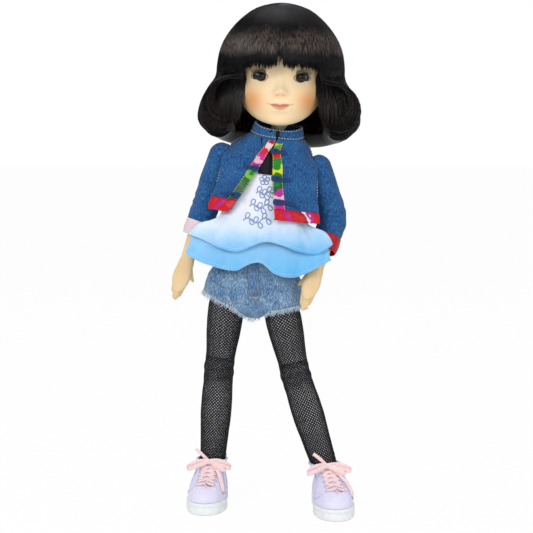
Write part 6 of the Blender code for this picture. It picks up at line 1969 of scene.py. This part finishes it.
SOLE_EDGE_MM = (
    # height as a share of the thickness, how far the edge is cut in
    (0, 0.9), (0.06, 0.35), (0.16, 0.05), (0.30, 0), (0.58, 0), (0.61, 0.22), (0.66, 0.22),
    (0.69, 0), (0.90, 0), (0.97, 0.2), (1.0, 0.6),
)
SHOE_SIDES = 84


def shoe_ring(z, front, back, half_width, x=0.0, y=0.0):
    ring = []
    for i in range(SHOE_SIDES):
        angle = math.tau * i / SHOE_SIDES
        share = 0.5 - 0.5 * math.cos(angle)
        width = max(0.0, along(SHOE_OUTLINE_SHARES, share)[1]) * half_width
        if share < 0.03 or share > 0.96:
            near = 0.03 if share < 0.03 else 0.04
            at = 0.42 if share < 0.03 else 0.50
            width = at * half_width * math.sqrt(max(0.0, min(share, 1 - share)) / near)
        ring.append(Vector((x + math.copysign(width, math.sin(angle)),
                            y - front + (front + back) * share, z)))
    return ring


def upper_row(side, share, grow=0.0):
    toe = SHOE_LENGTH - HEEL_BACK - SOLE_RIM
    heel = HEEL_BACK - SOLE_RIM
    front, back, width = along(UPPER_RING_SHARES, share)[1:]
    z = SOLE_THICKNESS + GAP + share * (SHOE_HEIGHT - SOLE_THICKNESS)
    lean = max(0.0, z - ANKLE_HEIGHT) * SHIN_SLOPE[side]
    return shoe_ring(z, front * toe + grow, back * heel + grow,
                     width * (SHOE_HALF_WIDTH - SOLE_RIM) + grow, -lean.x, -lean.y)


def instep(side, share):
    """Front centre of the upper at a share of its height, and the way its surface faces there."""
    low, high = max(0.0, share - 0.03), min(1.0, share + 0.03)
    a, b, here = (min(upper_row(side, s), key=lambda p: p.y) for s in (low, high, share))
    slope = b - a
    return here, Vector((0, -slope.z, slope.y)).normalized()


def tape(path, wide, width, thick):
    """A flat ribbon with rounded edges along a path. Wide gives its broad way at each point."""
    rings = []
    for k, p in enumerate(path):
        heading = (path[min(k + 1, len(path) - 1)] - path[max(k - 1, 0)]).normalized()
        broad = (wide[k] - heading * wide[k].dot(heading)).normalized()
        up = heading.cross(broad)
        ring = []
        for i in range(12):
            angle = math.tau * i / 12
            c, s = math.cos(angle), math.sin(angle)
            ring.append(p + broad * 0.5 * width * math.copysign(abs(c) ** 0.5, c) + up * 0.5 * thick
                        * math.copysign(abs(s) ** 0.7, s))
        rings.append(ring)
    return loft(rings)


def joined(name, shapes, home, material, body, stands_for=()):
    """Several closed shapes, set in one frame and made into one piece."""
    points, faces = [], []
    for part_points, part_faces in shapes:
        start = len(points)
        points += [home @ Vector(p) for p in part_points]
        faces += [tuple(start + i for i in face) for face in part_faces]
    thing = piece(name, points, faces, material, body, stands_for)
    outwards(thing)
    return thing


def make_shoes():
    for side in SIDES:
        word = WORD[side]
        home = PLACE["foot_" + word]
        body = "shin_body_" + word
        toe = SHOE_LENGTH - HEEL_BACK
        rings = []
        for share, inset in SOLE_EDGE_MM:
            cut = inset * MM
            rings.append(shoe_ring(share * SOLE_THICKNESS, toe - cut, HEEL_BACK - cut, SHOE_HALF_WIDTH - cut))
        moulding("sole_rubber_" + word, moved(rings, "foot_" + word), RUBBER, body, ["shoe_sole_" + word])

        local = [upper_row(side, share) for share in steps_between(0, 1, 44)]
        local = pushed(local, lambda a, d,
                       p: MM * (0.10 * ripple(p, 0.006, 40 + side) - 0.10
                                * bump(d, 0, 0.62, 0, 0.10, 1)), True)
        cloth("shoe_upper_lilac_" + word, moved(local, "foot_" + word), SHOE_WALL, LILAC, body,
              ["shoe_upper_" + word],
              True)
        outer = pushed(local, 0.0002, True)

        def line_on(places):
            return [home @ on_tube(outer, SHOE_SIDES * across, share * 43) for across, share in places]
        seams = []
        cap = [(0.21 * (t / 20 - 1), 0.50 - 0.46 * abs(t / 20 - 1) ** 1.5) for t in range(41)]
        seams.append(line_on([(a if a >= 0 else a + 1, s) for a, s in cap]))
        for hand in (1, -1):
            panel = [(hand * (0.13 + 0.10 * t / 20), 0.97 - 0.92 * (t / 20) ** 0.8) for t in range(21)]
            seams.append(line_on([(a % 1.0, s) for a, s in panel]))
            counter = [(0.5 + hand * (0.05 + 0.10 * t / 20), 0.90 - 0.86 * (t / 20) ** 1.4)
                       for t in range(21)]
            seams.append(line_on(counter))
        collar_edge = line_on([(k / 60, 0.985) for k in range(61)])
        follow("shoe_piping_" + word, seams + [collar_edge], THREAD, {"Radius": 0.42 * MM, "Sides": 8},
               LILAC_DARK, body)
        for number, seam in enumerate(seams):
            stitches("shoe_seam_stitches_%s_%d" % (word, number),
                     [p + Vector((0, 0, 0.0009)) for p in seam], LILAC_THREAD,
                     body, 0.0012, 0.0004, 0.00018)

        surface = BVHTree.FromPolygons(*grid(local, True)[:2])

        def on_instep(x, share, out):
            here, facing = instep(side, share)
            start = here + facing * 0.02 + Vector((x, 0, 0))
            hit = surface.ray_cast(start, -facing)[0]
            return (hit if hit is not None else here) + facing * out, facing
        shapes = []
        for k, share in enumerate(LACE_ROW_SHARES):
            for hand in ((1, -1) if k else (1,)):
                path, wide = [], []
                for i in range(13):
                    t = i / 12 - 0.5
                    rise = 0.0 if k == 0 else 0.075 * hand * t
                    p, facing = on_instep((0.0135 - 0.0008 * k) * t, share + rise,
                                          0.0006 + 0.0003 * (hand > 0))
                    path.append(p)
                    wide.append(Vector((0, facing.z, -facing.y)))
                shapes.append(tape(path, wide, 0.0026, 0.0007))
        knot, facing = on_instep(0, KNOT_SHARE, 0.0026)
        up_slope = Vector((0, facing.z, -facing.y))
        up_slope = up_slope if up_slope.z > 0 else -up_slope
        for hand in SIDES:
            for turn_up, far, drop in ((1, 0.0165, 0.10),
                                       (0, 0.0125, 0.34)) if hand == LEFT else ((1, 0.0160, 0.20),):
                path, wide = [], []
                for i in range(33):
                    t = i / 32
                    reach = far * (0.5 - 0.5 * math.cos(math.tau * t))
                    swing = math.sin(math.tau * t) * (reach / far) ** 0.5
                    p = knot + Vector((hand * reach, 0, 0)) + facing * (0.0008 + 0.0016
                            * math.sin(math.pi * t) + 0.0009 * turn_up)
                    p += up_slope * (0.0024 * swing - drop * reach - 12 * reach * reach)
                    path.append(p)
                    wide.append((facing * 0.62 + up_slope * 0.78 + Vector((0.12 * hand, 0, 0))).normalized())
                shapes.append(tape(path, wide, 0.0032, 0.0006))
        path, wide = [], []
        for i in range(17):
            t = i / 16
            path.append(knot + Vector((-0.0105 * t, 0.0015 * t, 0.0095 * t)) + facing * 0.0012
                        * math.sin(math.pi * t))
            wide.append(Vector((0.66, 0, 0.75)) + facing * 0.2)
        shapes.append(tape(path, wide, 0.0026, 0.0006))
        path, wide = [], []
        for i in range(25):
            t = i / 24
            p, out_way = on_instep(0.0016 + 0.0125 * t ** 0.8, 0.90 - 0.50 * t,
                                   0.0016 + 0.0012 * math.sin(math.pi * t))
            path.append(p)
            wide.append(Vector((1, 0, 0)).cross(out_way) + Vector((-0.8, 0, 0)))
        shapes.append(tape(path, wide, 0.0030, 0.0006))
        rings = []
        for k in range(9):
            angle = math.pi * (k + 0.5) / 9
            r = 0.0021 * math.sin(angle)
            rings.append([knot + Vector((p.x, 0, 0)) + up_slope * p.y * 0.9 + facing
                          * (0.0018 * math.cos(angle)) for p in oval(0, r, r, r, 20)])
        shapes.append(loft(rings))
        lace = joined("lace_ribbon_" + word, shapes, home, PINK_RIBBON, body, ["lace_" + word])
        eyes = []
        for share in LACE_ROW_SHARES:
            for hand in SIDES:
                centre, facing = on_instep(hand * 0.0066, share, 0.0003)
                aside = Vector((1, 0, 0))
                over = facing.cross(aside)
                eyes.append([home @ (centre + (aside * math.cos(a) + over * math.sin(a)) * 0.0010)
                             for a in [math.tau * k / 16 for k in range(17)]])
        follow("eyelets_" + word, eyes, THREAD, {"Radius": 0.28 * MM, "Sides": 6}, LILAC_DARK, body)


def make_lower_legs():
    for side in SIDES:
        word = WORD[side]
        rings = moved(dome(KNEE_RADIUS, 48), "knee_" + word)
        for share, front, back in SHIN_RING_SHARES + ((0.935, 0.73, 0.75), (1.02, 0.62, 0.62)):
            mean = 0.5 * (front + back) * CALF_RADIUS
            rings.append([PLACE["shin_" + word] @ p for p in
                          oval(-share * SHIN_LENGTH, mean, front * CALF_RADIUS, back * CALF_RADIUS, 48)])
        rings = refine(rings, length_marks(rings), steps_between(0, 1, 60))
        foot = moved([upper_row(side, share, -SHOE_ROOM) for share in steps_between(0.03, 0.58, 18)],
                     "foot_" + word)
        # Painted light: the lower legs under the net take the paler leg vinyl.
        leg = joined("lower_leg_vinyl_" + word, [loft(rings), loft(foot)], Matrix(), LIT_LEG_VINYL,
                     "shin_body_" + word, ["lower_leg_" + word])


WASHED_DARK = denim_finish("washed_denim_fly", "#33567c", "#54779c", "#86a4c0", 0.5)
FRAY_THREAD = cotton_thread("frayed_denim_thread", "#a9c0d6", "#e4edf4")
OCHRE_STITCH = cotton_thread("ochre_stitch_thread", "#b98a4a", "#d8b070")
LILAC = add_plain("lilac_leather", "#e4e0f7", "#ebe8fb", 0.42, 0.0012,
                  "Thin coated leather, smooth with a soft sheen")
LILAC_DARK = add_plain("lilac_bound_edge", "#d3cfee", "#dedaf5", 0.5, 0.002, "Turned leather edge")
LILAC_THREAD = cotton_thread("lilac_thread", "#e6e3f8", "#f4f2fc")
RUBBER = add_plain("white_rubber_sole", "#eef1ef", "#f6f8f6", 0.45, 0.004,
                   "Foam rubber, smooth with a low sheen")
PINK_RIBBON = add_plain("pink_satin_ribbon", "#f8d3d3", "#fde6e3", 0.5, 0.0012,
                        "Satin ribbon, fine weft ribs")
top = make_top()
make_print(top)
make_shorts()
make_leggings()
make_hands()
make_shoes()
make_lower_legs()


# Studio

CAMERA_AWAY = 1.1005
CAMERA_HEIGHT = 0.300
LOOK_DOWN_DEGREES = 6.25


def add_lamp(name, location, size, energy, aim=(0, 0, 0.22)):
    data = bpy.data.lights.new(name, "AREA")
    data.energy = energy
    data.size = size
    lamp = bpy.data.objects.new(name, data)
    lamp.location = location
    lamp.rotation_euler = (Vector(aim) - Vector(location)).to_track_quat("-Z", "Y").to_euler()
    bpy.context.scene.collection.objects.link(lamp)


def white_backdrop(tree):
    """1 where the camera or a clear piece sees the surface, and 0 for the light that it sends on."""
    path = add(tree, "ShaderNodeLightPath")
    return maths(tree, "MAXIMUM", path.outputs["Is Camera Ray"], path.outputs["Is Transmission Ray"])


def make_studio():
    points = [(-6, -6, 0), (6, -6, 0), (6, 6, 0), (-6, 6, 0)]
    mesh = bpy.data.meshes.new("floor")
    mesh.from_pydata(points, [], [(0, 1, 2, 3)])
    floor = bpy.data.objects.new("floor", mesh)
    bpy.context.scene.collection.objects.link(floor)
    material, tree, shader = start_finish("white_floor", 0.9, Base_Color=srgb("#f4f4f4"),
                                          Specular_IOR_Level=0.0)
    glow = add(tree, "ShaderNodeEmission", {"Color": srgb("#ffffff"), "Strength": 1.0})
    seen = white_backdrop(tree)
    share = maths(tree, "MULTIPLY", seen, 0.965)
    blended = add(tree, "ShaderNodeMixShader", {0: share, 1: shader.outputs[0], 2: glow.outputs[0]})
    tree.links.new(blended.outputs[0], tree.nodes["Material Output"].inputs["Surface"])
    mesh.materials.append(material)

    world = bpy.context.scene.world or bpy.data.worlds.new("studio")
    bpy.context.scene.world = world
    world.use_nodes = True
    tree = world.node_tree
    tree.nodes.clear()
    soft = add(tree, "ShaderNodeBackground", {"Color": srgb("#f6f8ff"), "Strength": 0.55})
    white = add(tree, "ShaderNodeBackground", {"Color": srgb("#ffffff"), "Strength": 1.0})
    blended = add(tree, "ShaderNodeMixShader",
                  {0: white_backdrop(tree), 1: soft.outputs[0], 2: white.outputs[0]})
    add(tree, "ShaderNodeOutputWorld", {"Surface": blended.outputs[0]})

    add_lamp("key", (-0.75, -1.25, 1.05), 0.55, 9.0)
    add_lamp("fill", (1.10, -1.10, 0.60), 0.80, 4.5)
    add_lamp("top", (0.0, 0.15, 1.30), 0.80, 4.0)
    add_lamp("glint", (-0.26, -1.10, 0.62), 0.09, 0.75, (0.011, 0, 0.318))

    lens = bpy.data.cameras.new("camera")
    lens.lens = 100
    lens.sensor_width = 36
    camera = bpy.data.objects.new("camera", lens)
    camera.location = (STAND[0], -CAMERA_AWAY, CAMERA_HEIGHT)
    camera.rotation_euler = (math.radians(90 - LOOK_DOWN_DEGREES), 0, 0)
    bpy.context.scene.collection.objects.link(camera)
    bpy.context.scene.camera = camera
    bpy.context.scene.view_settings.view_transform = "Standard"


make_studio()
